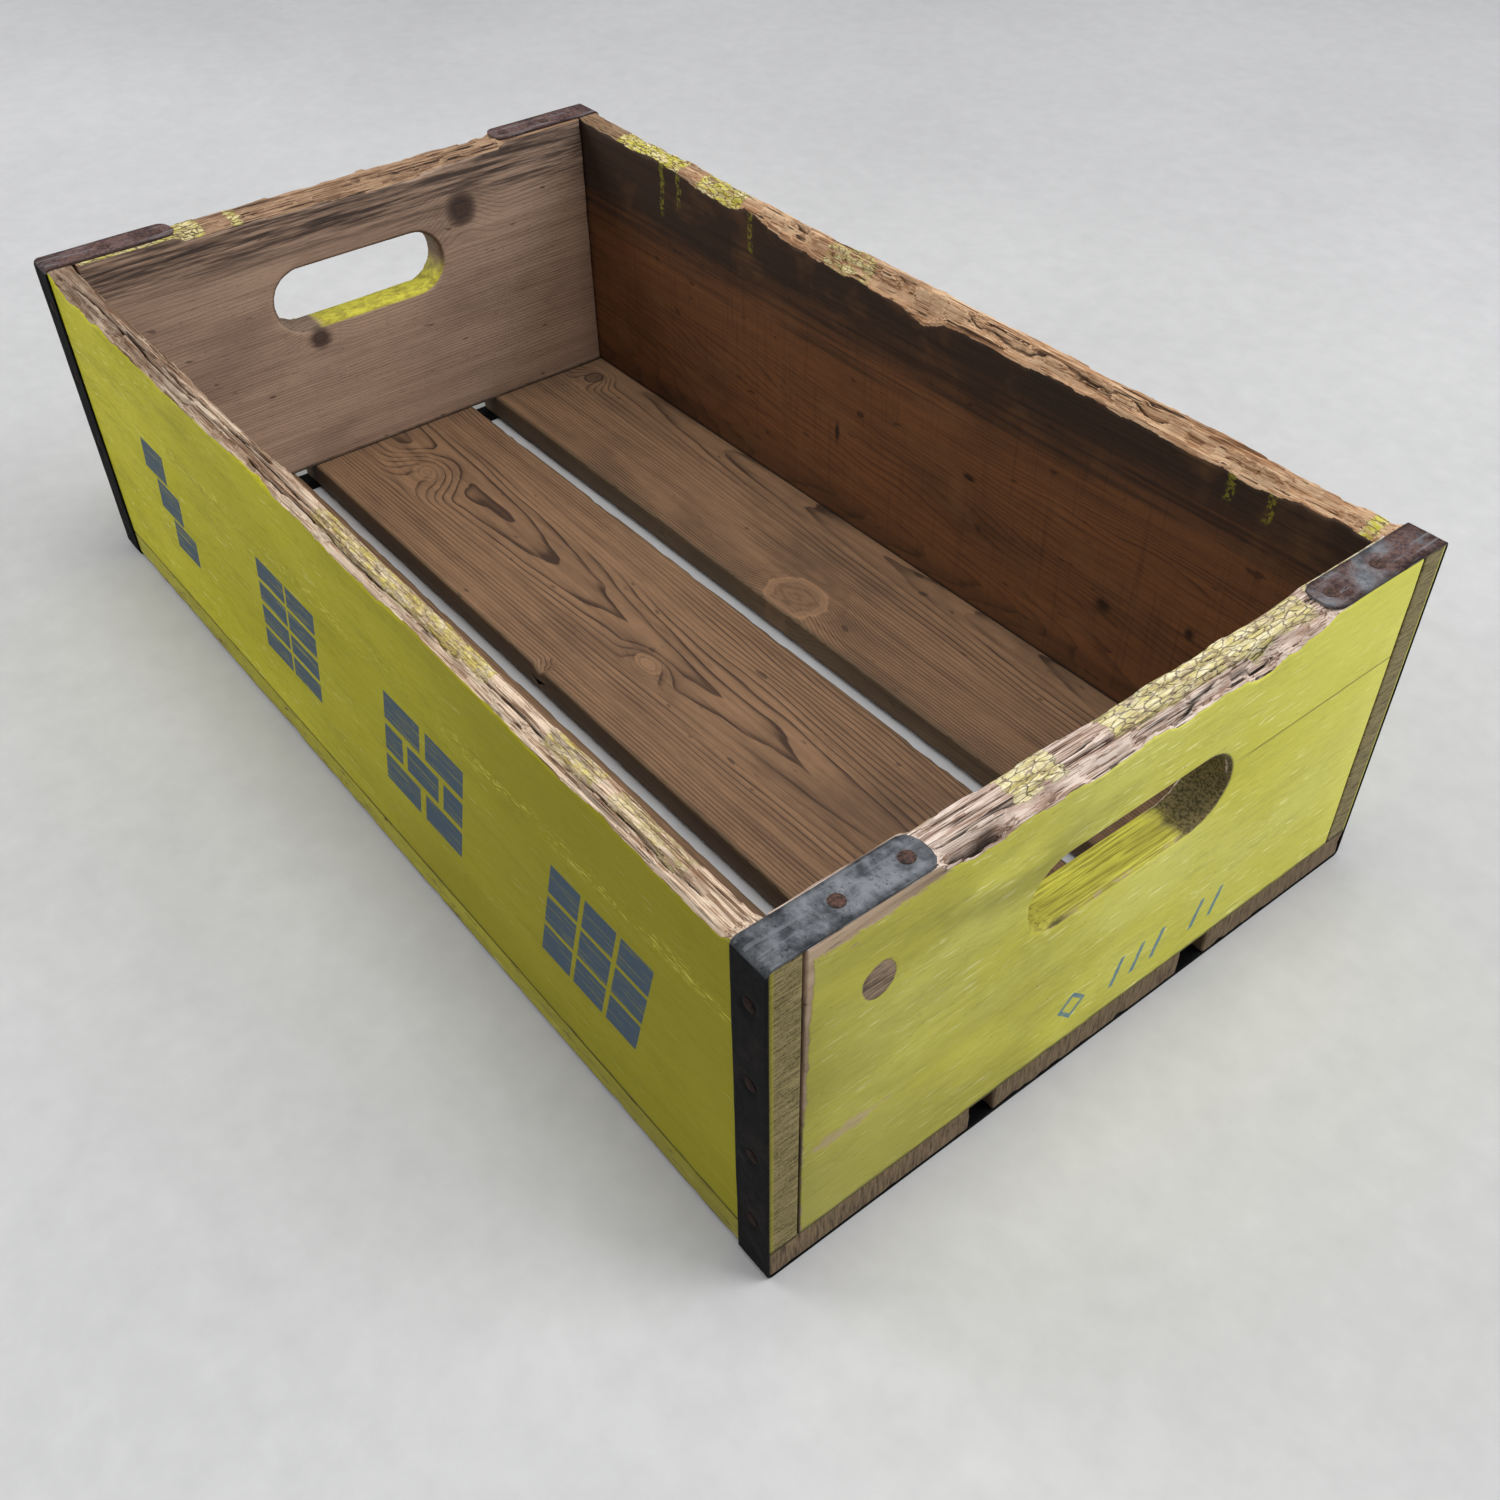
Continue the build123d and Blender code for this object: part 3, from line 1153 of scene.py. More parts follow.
            window = smooth((run - split.start_mm) / 8) * smooth((split.stop_mm - run) / 8)
            shape = np.clip(1 - np.abs(across - centre) / (split.width_mm / 2), 0, 1)
            drop = drop + split.depth_mm * window * shape
            pits = np.maximum(pits, window * shape)
        return np.maximum(drop * cover, 0.02), pits * cover

    def shrink_ends(self, points: np.ndarray, uneven: Unevenness) -> None:
        """Leaves a side board's ends where they are."""

    def finish(self) -> bpy.types.Material:
        """Layers the board's timber, paint, bare rim and dirt.

        Returns:
            The material.
        """
        shader = Shader(f"{self.name}_finish")
        run, through = shader.place(self.grain), shader.place(self.through)
        inward = (self.outer_mm - through) if self.outward > 0 else (through - self.outer_mm)
        wood, wood_height = self.timber.grown(shader)
        wood = self.inside_marks(shader, wood, run)
        fibre, fibre_height = self.fibres.laid(shader, self.grain, self.timber.shift)
        fibre = self.rim_marks(shader, fibre, run)
        coat, coat_height = self.paint.brushed(shader, self.grain, self.timber.shift, self.grime)
        ragged = shader.noise(self._size(5, 0.9), 3.0, 0.7, shift=3.3) - 0.5
        bare = (shader.stored("bare") + ragged * 0.5).rise(0.36, 0.5)
        coat = self.outside_marks(shader, coat, run)
        face = inward.rise(2.2, 1.6)
        kept_noise = shader.noise(self._size(9, 2.4), 3.0, 0.65, shift=8.0)
        flakes = shader.cracks(self._size(*self.wear.kept_cell_mm), 0.45)
        start = self.wear.kept_inward_mm
        kept = (shader.stored("kept") + kept_noise * 1.2 - 0.6).rise(0.5, 0.62)
        kept = kept * (inward + (kept_noise - 0.5) * 6).rise(start - 0.5, start + 0.5) * bare
        seams = flakes.rise(0.075, 0.02)
        dirt = shader.noise(self._size(6, 3.5), 3.0, 0.7, shift=9.5)
        skin = shader.mix(kept_noise.rise(0.4, 0.62), self.wear.kept_colour, self.wear.kept_pale)
        skin = shader.mix(dirt.rise(0.48, 0.66) * 0.6, skin, self.fibres.middle)
        skin = shader.mix(fibre_height.rise(0.5, 0.42) * self.wear.kept_worn, skin, fibre)
        skin = shader.mix(seams * self.wear.kept_cracks, skin, self.fibres.dark)
        coat = shader.mix(kept, coat, skin)
        painted = (face * (1 - bare)).most(kept * (1 - seams * 0.3)).most(self.painted_inside(shader, run))
        painted = painted * self.paint_losses(shader, run)
        pits = (shader.stored("pits") + (kept_noise - 0.5) * 0.5).rise(0.25, 0.75)
        fibre = shader.mix(pits * 0.9, fibre, dimmed(self.fibres.dark, 0.35))
        colour = shader.mix(bare, wood, fibre)
        grain_end = abs(run).rise(self.high_mm[self.grain.value] - 0.7, self.high_mm[self.grain.value] - 0.2)
        colour = shader.mix(grain_end, colour, self.end_grain(shader))
        colour = shader.mix(painted * (1 - grain_end * 0.45), colour, coat)
        edge = self.edge_dirt(shader, run)
        colour = shader.mix(edge, colour, chart(34, 28, 20))
        height = wood_height * 0.5 * (1 - bare) + fibre_height * bare * 1.3
        height = height + painted * (0.25 + coat_height * 0.3)
        height = height - seams * kept * 0.5
        roughness = 0.72 + bare * 0.16 - painted * (0.14 - kept_noise * 0.08)
        shader.dress(colour, roughness, height, 0.7, 0.85, 0.0, self.gloss)
        return shader.material

    def _size(self, run: float, other: float) -> Triple:
        """A feature's size on X, Y and Z, with its own size along the grain."""
        return grained(self.grain, run, other)

    def painted_inside(self, shader: Shader, run: Value) -> Number:
        """Where paint reaches wood behind the outer face: nowhere on a plain board."""
        return 0.0

    def paint_losses(self, shader: Shader, run: Value) -> Value:
        """Where the paint is whole, from 0 to 1."""
        return shader.noise(self._size(7, 1.6), 3.0, 0.65, shift=61.0).rise(0.76, 0.72)

    def end_grain(self, shader: Shader) -> Socket:
        """Adds the sawn end grain: tan, speckled with dirt and thin paint.

        Args:
            shader: the board's material.

        Returns:
            The end grain's colour.
        """
        rings = shader.noise((9.0, 9.0, 0.75), 3.0, 0.6, shift=71.0)
        speckle = shader.noise((0.9, 0.9, 0.9), 3.0, 0.7, shift=73.0)
        tone = rings * 0.6 + speckle * 0.4
        stops = [(0.36, chart(62, 54, 32)), (0.5, chart(132, 120, 80)), (0.64, chart(158, 144, 102))]
        return shader.ramp(tone, stops)

    def edge_dirt(self, shader: Shader, run: Value) -> Value:
        """Dirt along the board's lower edge."""
        ragged = shader.noise(self._size(11, 2.0), 3.0, 0.7, shift=81.0) * 3.0
        return (shader.z - self.low_mm[2] - ragged).rise(1.2, -1.2) * 0.85

    def rim_marks(self, shader: Shader, fibre: Socket, run: Value) -> Socket:
        """Adds nothing to the bare rim."""
        return fibre

    def inside_marks(self, shader: Shader, wood: Socket, run: Value) -> Socket:
        """Adds nothing to the bare inner face."""
        return wood

    def outside_marks(self, shader: Shader, coat: Socket, run: Value) -> Socket:
        """Adds nothing to the painted outer face."""
        return coat


@dataclass
class FrontSide(Board):
    """The long side that carries the stencils."""

    stencils: Stencils = field(default_factory=Stencils)

    def outside_marks(self, shader: Shader, coat: Socket, run: Value) -> Socket:
        """Adds the stencils, a long dashed scratch and painted shade that darkens the paint toward the right
        end.

        Args:
            shader: the board's material.
            coat: the paint's colour.
            run: place along the grain.

        Returns:
            The marked paint's colour.
        """
        broad = shader.noise((210, 60, 60), 2.0, 0.5, shift=90.0)
        # Painted shade: the paint darkens toward the right end of the front side.
        painted_shade_to_right = (run * 0.0016 + broad * 0.6).rise(-0.1, 0.75) * 0.8
        coat = shader.mix(painted_shade_to_right, coat, chart(136, 128, 24))
        rub = abs(shader.z - 128.0 - run * 0.02 + (broad - 0.5) * 8.0)
        clusters = shader.noise((34, 14, 9), 2.0, 0.5, shift=94.0)
        dashes = shader.noise((6, 0.9, 0.9), 2.0, 0.6, shift=92.0) + clusters.rise(0.38, 0.62) * 0.14
        coat = shader.mix(rub.rise(7.0, 1.0) * dashes.rise(0.66, 0.71) * 0.75, coat, chart(218, 212, 92))
        ink = self.stencils.sprayed(shader)
        return shader.mix(ink * 0.95, coat, self.stencils.ink)

    def rim_marks(self, shader: Shader, fibre: Socket, run: Value) -> Socket:
        """Browns the rim toward the left end, which is the more weathered.

        Args:
            shader: the board's material.
            fibre: the bare rim's colour.
            run: place along the grain.

        Returns:
            The browned rim's colour.
        """
        patches = shader.noise((60, 5, 5), 3.0, 0.6, shift=98.0)
        browned = (patches * 1.6 - 0.65 - run * 0.0024).rise(0.0, 0.8) * 0.65
        return shader.mix(browned, fibre, chart(88, 62, 45))


@dataclass
class BackSide(Board):
    """The long side across from the stencils, whose inner face is dark with use.

    A drip is its place and its foot's level. A nick is its place, its level and its two radii.
    """

    drips_mm: Profile = ((-196, 141), (-180, 150), (-115, 146), (206, 152), (226, 151))
    nicks_mm: tuple[tuple[float, float, float, float], ...] = (
        (154, 66, 6, 5), (203, 78, 3, 4), (60, 90, 5, 2), (-40, 70, 2, 7),
    )

    def rim_marks(self, shader: Shader, fibre: Socket, run: Value) -> Socket:
        """Darkens the rim toward the left end with painted shade."""
        patches = shader.noise((50, 5, 5), 3.0, 0.6, shift=99.0)
        # Painted shade: the rim darkens toward the left end.
        return shader.mix((patches - run * 0.008).rise(1.6, 2.2) * 0.6, fibre, chart(74, 58, 38))

    def inside_marks(self, shader: Shader, wood: Socket, run: Value) -> Socket:
        """Adds the dark band under the rim, saw marks, pale patches, drips of paint and dark nicks.

        Args:
            shader: the board's material.
            wood: the bare wood's colour.
            run: place along the grain.

        Returns:
            The marked wood's colour.
        """
        uneven = shader.noise((70, 9, 9), 3.0, 0.6, shift=95.0)
        streaky = shader.noise((120, 3, 3), 3.0, 0.6, shift=96.0)
        band = (shader.z + uneven * 30 + streaky * 30 - run * 0.03).rise(138, 178)
        wood = shader.mix(band * 0.85, wood, chart(42, 36, 31))
        sawn = shader.noise((2.2, 60, 60), 3.0, 0.6, shift=100.0)
        wood = shader.mix(sawn.rise(0.5, 0.75) * 0.3, wood, chart(48, 31, 20))
        pale = shader.noise((38, 60, 26), 3.0, 0.6, shift=101.0)
        wood = shader.mix(pale.rise(0.5, 0.75) * 0.4, wood, chart(128, 92, 58))
        lines = streaky.rise(0.5, 0.66) * (shader.z + uneven * 20).rise(80, 150) * 0.5
        wood = shader.mix(lines, wood, chart(40, 29, 22))
        # Darker low on the inner face, toward the slats.
        low = (shader.z - uneven * 16).rise(34, 14)
        wood = shader.mix(low * 0.4, wood, chart(58, 42, 26))
        drips = None
        for place, foot in self.drips_mm:
            drip = abs(run - place + (uneven - 0.5) * 6).rise(2.6, 1.2)
            drip = drip * (shader.z - uneven * 8).rise(foot - 8, foot - 2)
            drips = drip if drips is None else drips + drip
        thin = shader.noise((2, 2, 2), 2.0, 0.6, shift=97.0).rise(0.42, 0.58)
        wood = shader.mix(drips * thin * 0.6, wood, chart(150, 146, 40))
        for place, up, long, tall in self.nicks_mm:
            nick = shader.oval((place, 0.0, up), (long, 0.0, tall))
            spot = (nick + (uneven - 0.5) * 1.5).rise(1.3, 0.3)
            wood = shader.mix(spot * 0.85, wood, chart(20, 14, 10))
        return wood


@dataclass
class EndBoard(Board):
    """An end, with an obround hand slot through it."""

    slot_middle_mm: tuple[float, float] = (0.0, 117.0)
    slot_half_mm: float = 35.0
    slot_radius_mm: float = 17.5
    slot_eased_mm: float = 2.6
    tab_reach_mm: float = 97.0
    gap_mm: float = 0.7

    def cover(self, run: np.ndarray) -> np.ndarray:
        """Less wear under the strap's tabs."""
        return np.clip((self.tab_reach_mm + 4 - np.abs(run)) / 6, 0.15, 1.0)

    def cut_openings(self, piece: Piece) -> None:
        """Cuts the hand slot with a flared, slightly uneven cutter.

        Args:
            piece: the worn board.
        """
        cutter = self.slot_cutter()
        cut = piece.modifiers.new("hand_slot", "BOOLEAN")
        cut.operation = "DIFFERENCE"
        cut.solver = "EXACT"
        cut.object = cutter
        finish_modifiers(piece)
        bpy.data.objects.remove(cutter)

    def slot_cutter(self) -> Piece:
        """Makes the solid that the hand slot is cut with.

        Returns:
            The cutter, an obround bar that flares where it leaves each face.
        """
        deselect_all()
        middle = (self.low_mm + self.high_mm)[0] / 2
        half = self.thick_mm / 2
        length = self.thick_mm + 6
        bpy.ops.mesh.primitive_cylinder_add(
            vertices=96, radius=self.slot_radius_mm * MM, depth=length * MM,
            location=(middle * MM, 0, 0), rotation=(0, math.pi / 2, 0),
        )
        cutter = bpy.context.active_object
        bpy.ops.object.transform_apply(location=True, rotation=True, scale=True)
        eased = self.slot_eased_mm
        steps = [half - eased * s for s in (1.0, 0.7, 0.45, 0.25, 0.1, 0.0)] + [half * 0.3]
        score(cutter, Axis.X, [middle + side * step for step in steps for side in (-1, 1)])
        points = points_of(cutter)
        uneven = Unevenness(self.wear.seed + 100)
        out = np.abs(points[:, 0] - middle)
        inside = np.clip(half - out, 0, eased)
        flare = eased - np.sqrt(np.maximum(eased**2 - (eased - inside) ** 2, 0))
        radius = np.hypot(points[:, 1], points[:, 2])
        angle = np.arctan2(points[:, 2], points[:, 1])
        rough = 0.35 * uneven.layered(angle * 7, points[:, 0] / 4)
        rough = rough + 0.2 * uneven.at(angle * 40, points[:, 0] / 2)
        lower = smooth(-np.sin(angle) * 1.4)
        grown = self.slot_radius_mm + flare * (1 + 0.35 * lower) + rough * (0.6 + 0.6 * lower)
        scale = np.where(radius > 1, grown / np.maximum(radius, 1e-6), 1)
        shift = np.where(np.abs(points[:, 1]) < 0.01, 0, np.sign(points[:, 1])) * self.slot_half_mm
        points[:, 1] = points[:, 1] * scale + shift + self.slot_middle_mm[0]
        points[:, 2] = points[:, 2] * scale + self.slot_middle_mm[1]
        set_points(cutter, points)
        return cutter

    def shrink_ends(self, points: np.ndarray, uneven: Unevenness) -> None:
        """Draws the ends in a little, which leaves the dark joint against the long sides.

        Args:
            points: the board's vertices, changed in place.
            uneven: the board's noise.
        """
        half = (self.high_mm - self.low_mm)[1] / 2
        end = smooth((np.abs(points[:, 1]) - (half - 3)) / 3)
        rise = (points[:, 2] - self.low_mm[2]) / (self.high_mm[2] - self.low_mm[2])
        gap = self.gap_mm + 0.5 * smooth(rise * 1.2)
        gap = gap + 0.3 * uneven.layered(points[:, 2] / 14, np.sign(points[:, 1]))
        points[:, 1] -= np.sign(points[:, 1]) * end * np.maximum(gap, 0.1)

    def edge_dirt(self, shader: Shader, run: Value) -> Value:
        """Dirt along the lower edge and in the joints against the long sides."""
        reach = float(self.high_mm[1])
        return super().edge_dirt(shader, run).most(abs(run).rise(reach - 1.5, reach - 0.7) * 0.9)

    def slot_wall(self, shader: Shader) -> Value:
        """Masks the hand slot's inner wall and lips.

        Args:
            shader: the board's material.

        Returns:
            The mask.
        """
        gap = shader.y - self.slot_middle_mm[0]
        beyond = (abs(gap) - self.slot_half_mm).most(0.0)
        up = shader.z - self.slot_middle_mm[1]
        radius = (beyond * beyond + up * up).root()
        return radius.rise(self.slot_radius_mm + 2.2, self.slot_radius_mm + 1.2)


@dataclass
class RightEnd(EndBoard):
    """The end with the tally marks, worn most below the rim and at the front."""

    tally: Tally = field(default_factory=Tally)
    patch_mm: tuple[float, float] = (-121.5, 135.0)

    def outside_marks(self, shader: Shader, coat: Socket, run: Value) -> Socket:
        """Adds the tally, a dark line, the bright slot wall, the soot beside the slot, and painted shade and
        highlight across the face.

        Args:
            shader: the board's material.
            coat: the paint's colour.
            run: place along the grain.

        Returns:
            The marked paint's colour.
        """
        broad = shader.noise((40, 70, 26), 3.0, 0.6, shift=110.0)
        smoke = shader.oval((0.0, -62.0, 142.0), (0.0, 58.0, 15.0)).rise(1.5, 0.2) * broad.rise(0.38, 0.72)
        coat = shader.mix(smoke * 0.5, coat, chart(96, 92, 44))
        # Painted shade: the paint darkens toward the lower left of the face.
        dull = (run * -0.004 + shader.z * -0.002 + broad).rise(0.25, 1.05) * 0.7
        coat = shader.mix(dull, coat, chart(146, 139, 58))
        # Painted highlight: the paint lightens toward the upper right of the face.
        fresh = (run * 0.005 + shader.z * 0.004 + broad * 0.5).rise(0.8, 1.6) * 0.6
        coat = shader.mix(fresh, coat, chart(230, 228, 96))
        line = abs(shader.z - 122.0 - run * 0.015 + (broad - 0.5) * 3)
        coat = shader.mix(line.rise(0.8, 0.2) * run.rise(58, 70) * 0.6, coat, chart(70, 62, 30))
        wall = self.slot_wall(shader)
        lines = shader.noise((1.1, 34, 0.8), 3.0, 0.65, shift=115.0)
        bright = shader.mix(lines.rise(0.36, 0.6), chart(150, 140, 44), chart(226, 219, 84))
        bright = shader.mix(broad.rise(0.46, 0.66) * 0.55, bright, chart(132, 122, 52))
        coat = shader.mix(wall * 0.9, coat, bright)
        ink = self.tally.brushed(shader)
        return shader.mix(ink, coat, self.tally.ink)

    def inside_marks(self, shader: Shader, wood: Socket, run: Value) -> Socket:
        """Darkens the streaky knot, and the rough end grain at the hand slot's two ends.

        Args:
            shader: the board's material.
            wood: the bare wood's colour.
            run: place along the grain.

        Returns:
            The marked wood's colour.
        """
        streaks = shader.noise((2.0, 13, 1.0), 3.0, 0.65, shift=119.0)
        knot = shader.mix(streaks.rise(0.38, 0.62), chart(62, 47, 38), chart(152, 130, 106))
        disc = shader.oval((0.0, *self.patch_mm), (0.0, 7.8, 9.0))
        wood = shader.mix(disc.rise(1.05, 0.9) * 0.85, wood, knot)
        rough = shader.noise((1.4, 1.4, 1.0), 3.0, 0.7, shift=118.0)
        dark = shader.mix(rough.rise(0.4, 0.6), chart(38, 30, 22), chart(112, 96, 68))
        ends = abs(run - self.slot_middle_mm[0]).rise(24, 34) * self.slot_wall(shader)
        return shader.mix(ends, wood, dark)

    def painted_inside(self, shader: Shader, run: Value) -> Value:
        """Paint reaches through the hand slot, over its whole wall."""
        return self.slot_wall(shader)

    def paint_losses(self, shader: Shader, run: Value) -> Value:
        """Masks whole paint: none along the left edge, at the knot, under the front tab or where worn.

        Args:
            shader: the board's material.
            run: place along the grain.

        Returns:
            The mask, 1 where the paint is whole.
        """
        chips = shader.noise((1.6, 7, 1.6), 3.0, 0.65, shift=61.0).rise(0.76, 0.72)
        ragged = shader.noise((6, 11, 6), 3.0, 0.7, shift=113.0)
        edge = (run - ragged * 4 - (shader.z - 60).most(0.0) * 0.03).rise(-154.6, -153.4)
        knot = (shader.oval((0.0, *self.patch_mm), (0.0, 7.4, 8.6)) + (ragged - 0.5) * 0.35).rise(0.92, 1.02)
        under_tab = (shader.z + ragged * 8).rise(172.0, 170.0).most(run.rise(-97, -92))
        wall = self.slot_wall(shader)
        ends = (run - self.slot_middle_mm[0] + (ragged - 0.5) * 14).rise(27, 36) * wall
        low_lip = (shader.z + ragged * 5).rise(102.6, 100.6) * (self.high_mm[0] - shader.x).rise(3.2, 1.0)
        rubbed = low_lip * run.rise(-20, -34).most(ragged.rise(0.5, 0.62)) * wall
        scuff = shader.oval((0.0, -132.0, 64.0), (0.0, 15.0, 3.0)) + (ragged - 0.5) * 3.4
        bald = scuff.rise(0.5, 1.4) * 0.65 + 0.35
        corner = shader.oval((0.0, -122.0, 171.5), (0.0, 42.0, 7.0)) + (ragged - 0.5) * 1.6
        wear = bald * corner.rise(0.8, 1.1) * (1 - ends * 0.92) * (1 - rubbed * 0.8)
        return chips * edge * knot * under_tab * wear


@dataclass
class LeftEnd(EndBoard):
    """The far end, whose inner face is grey-brown with two dark knots."""

    def inside_marks(self, shader: Shader, wood: Socket, run: Value) -> Socket:
        """Adds the knots' dark hearts, dark streaks high up and paint on the slot's lower wall.

        Args:
            shader: the board's material.
            wood: the bare wood's colour.
            run: place along the grain.

        Returns:
            The marked wood's colour.
        """
        streaks = shader.noise((6, 60, 2.6), 4.0, 0.65, shift=121.0)
        for across, up, radius in ((66.0, 141.0, 9.5), (-34.0, 93.0, 6.0)):
            heart = shader.oval((0.0, across, up), (0.0, radius, radius)) + (streaks - 0.5) * 1.2
            wood = shader.mix(heart.rise(1.35, 0.6) * 0.8, wood, chart(62, 46, 42))
        high = (shader.z + streaks * 30 + run * 0.02).rise(150, 176)
        wood = shader.mix(high * streaks.rise(0.36, 0.6) * 0.85, wood, chart(40, 34, 36))
        wall = self.slot_wall(shader)
        low = shader.z.rise(118, 104) * run.rise(-34, -28)
        worn = shader.noise((5, 9, 3), 4.0, 0.7, shift=123.0)
        paint = shader.mix(worn.rise(0.34, 0.62), chart(156, 146, 46), chart(206, 200, 62))
        wood = shader.mix(wall * 0.55 * (1 - low), wood, chart(52, 42, 32))
        return shader.mix(wall * low * 0.95, wood, paint)


@dataclass
class Slat:
    """One floor slat, with eased and chipped arrises."""

    name: str
    node: str
    timber: Timber
    seed: int
    painted_side: int = 0
    paint: CratePaint = CratePaint()
    chips_mm: float = 0.4
    notch_mm: Triple | None = None
    slot: str = "floor_wood"
    long_parts: int = 120
    wide_parts: int = 56
    thick_parts: int = 9
    eased_mm: float = 1.0
    end_mm: float = 10.0
    end_parts: int = 8

    def build(self) -> Piece:
        """Saws, chips and dresses the slat.

        Returns:
            The finished slat.
        """
        low, high = packed_box(self.node)
        piece = stock(self.name, low, high)
        ease(piece, lambda first, second: np.ones(len(first), bool), self.eased_mm, 2)
        first, last = low[0] + self.end_mm, high[0] - self.end_mm
        score(piece, Axis.X, [first, last])
        divide(piece, along(Axis.X, low[0] + 0.5, first + 0.1), self.end_parts)
        divide(piece, along(Axis.X, last - 0.1, high[0] - 0.5), self.end_parts)
        divide(piece, along(Axis.X, first - 0.1, last + 0.1), self.long_parts)
        divide(piece, along(Axis.Y), self.wide_parts)
        divide(piece, along(Axis.Z), self.thick_parts)
        self.chip(piece, low, high)
        shade(piece, 50)
        hand_over(piece, self.node, self.finish(low, high))
        return piece

    def chip(self, piece: Piece, low: np.ndarray, high: np.ndarray) -> None:
        """Wears the arrises unevenly and gives the faces a slight wave.

        Args:
            piece: the sawn slat.
            low: its lowest corner, in millimetres.
            high: its highest corner.
        """
        uneven = Unevenness(self.seed)
        points = points_of(piece)
        centre = (low + high) / 2
        half = (high - low) / 2
        gap = half - np.abs(points - centre)
        sides = np.sign(points - centre)
        for first, second, run in ((1, 2, 0), (0, 2, 1), (0, 1, 2)):
            away = gap[:, first] + gap[:, second]
            arris = sides[:, first] * 3 + sides[:, second] * 7
            ragged = uneven.layered(points[:, run] / 6 + 31 * first, arris)
            reach = smooth(1 - away / (3.2 + 1.5 * ragged))
            bite = self.chips_mm * np.clip(1.8 * ragged - 0.1, 0.12, 2) * reach
            points[:, first] -= sides[:, first] * bite * 0.7
            points[:, second] -= sides[:, second] * bite * 0.7
        wave = 0.22 * uneven.layered(points[:, 0] / 60, points[:, 1] / 18)
        top = smooth(1 - gap[:, 2] / 4) * (sides[:, 2] > 0) * smooth(gap[:, 1] / 3) * smooth(gap[:, 0] / 3)
        points[:, 2] -= (0.25 + wave) * top
        if self.notch_mm is not None:
            run, edge, reach = self.notch_mm
            near = np.clip(1 - np.hypot((points[:, 0] - run) / 5, (points[:, 1] - edge) / reach), 0, 1)
            torn = 1 + 0.5 * uneven.at(points[:, 1] / 2)
            points[:, 2] -= 4.0 * smooth(near * 1.6) * (sides[:, 2] > 0) * torn
        set_points(piece, points)

    def finish(self, low: np.ndarray, high: np.ndarray) -> bpy.types.Material:
        """Layers the slat's timber, dirty edges, end grain and, on an outer slat, paint.

        Args:
            low: the slat's lowest corner, in millimetres.
            high: its highest corner.

        Returns:
            The material.
        """
        shader = Shader(f"{self.name}_finish")
        colour, height = self.timber.grown(shader)
        ragged = shader.noise((18, 4, 4), 3.0, 0.65, shift=self.timber.shift + 41)
        left = (shader.y - low[1] - ragged * 2).rise(1.6, 0.2)
        right = (high[1] - shader.y - ragged * 2).rise(1.6, 0.2)
        edge = left.most(right)
        colour = shader.mix(edge * 0.6, colour, chart(86, 72, 50))
        # Darker toward both ends, next to the end boards, and in random patches.
        corner = abs(shader.x).rise(250, 290) * 0.35 + (ragged - 0.4).most(0.0) * 0.5
        colour = shader.mix(corner, colour, chart(62, 47, 34))
        ticks = shader.noise((1.2, 1.0, 9), 3.0, 0.7, shift=self.timber.shift + 43)
        stops = [(0.34, chart(44, 34, 24)), (0.47, chart(118, 98, 70)), (0.66, chart(152, 130, 98))]
        end = shader.ramp(ticks, stops)
        grain_end = abs(shader.x).rise(high[0] - 1.3, high[0] - 0.6)
        colour = shader.mix(grain_end, colour, end)
        # Darker along the bottom 2 mm, next to the floor.
        under = (shader.z - low[2]).rise(2.2, 0.4)
        colour = shader.mix(under * 0.55, colour, chart(54, 44, 34))
        if self.painted_side:
            coat, _ = self.paint.brushed(shader, Axis.X, self.timber.shift, 1.0)
            coat = shader.mix(0.35, coat, chart(104, 94, 36))
            face = (high[1] - shader.y) if self.painted_side > 0 else (shader.y - low[1])
            left_over = shader.noise((14, 2.2, 2.2), 3.0, 0.7, shift=47.0).rise(0.68, 0.58)
            colour = shader.mix(face.rise(1.0, 0.3) * left_over * (1 - grain_end) * (1 - under), colour, coat)
        # Darker toward the right end.
        colour = shader.mix((shader.x + ragged * 90).rise(120, 330) * 0.35, colour, chart(74, 54, 36))
        shader.dress(colour, 0.62 + ragged * 0.2, height - grain_end * ticks * 1.5, 0.3, 0.6, 0.0, 0.4)
        return shader.material


# ---------------------------------------------------------------- steel


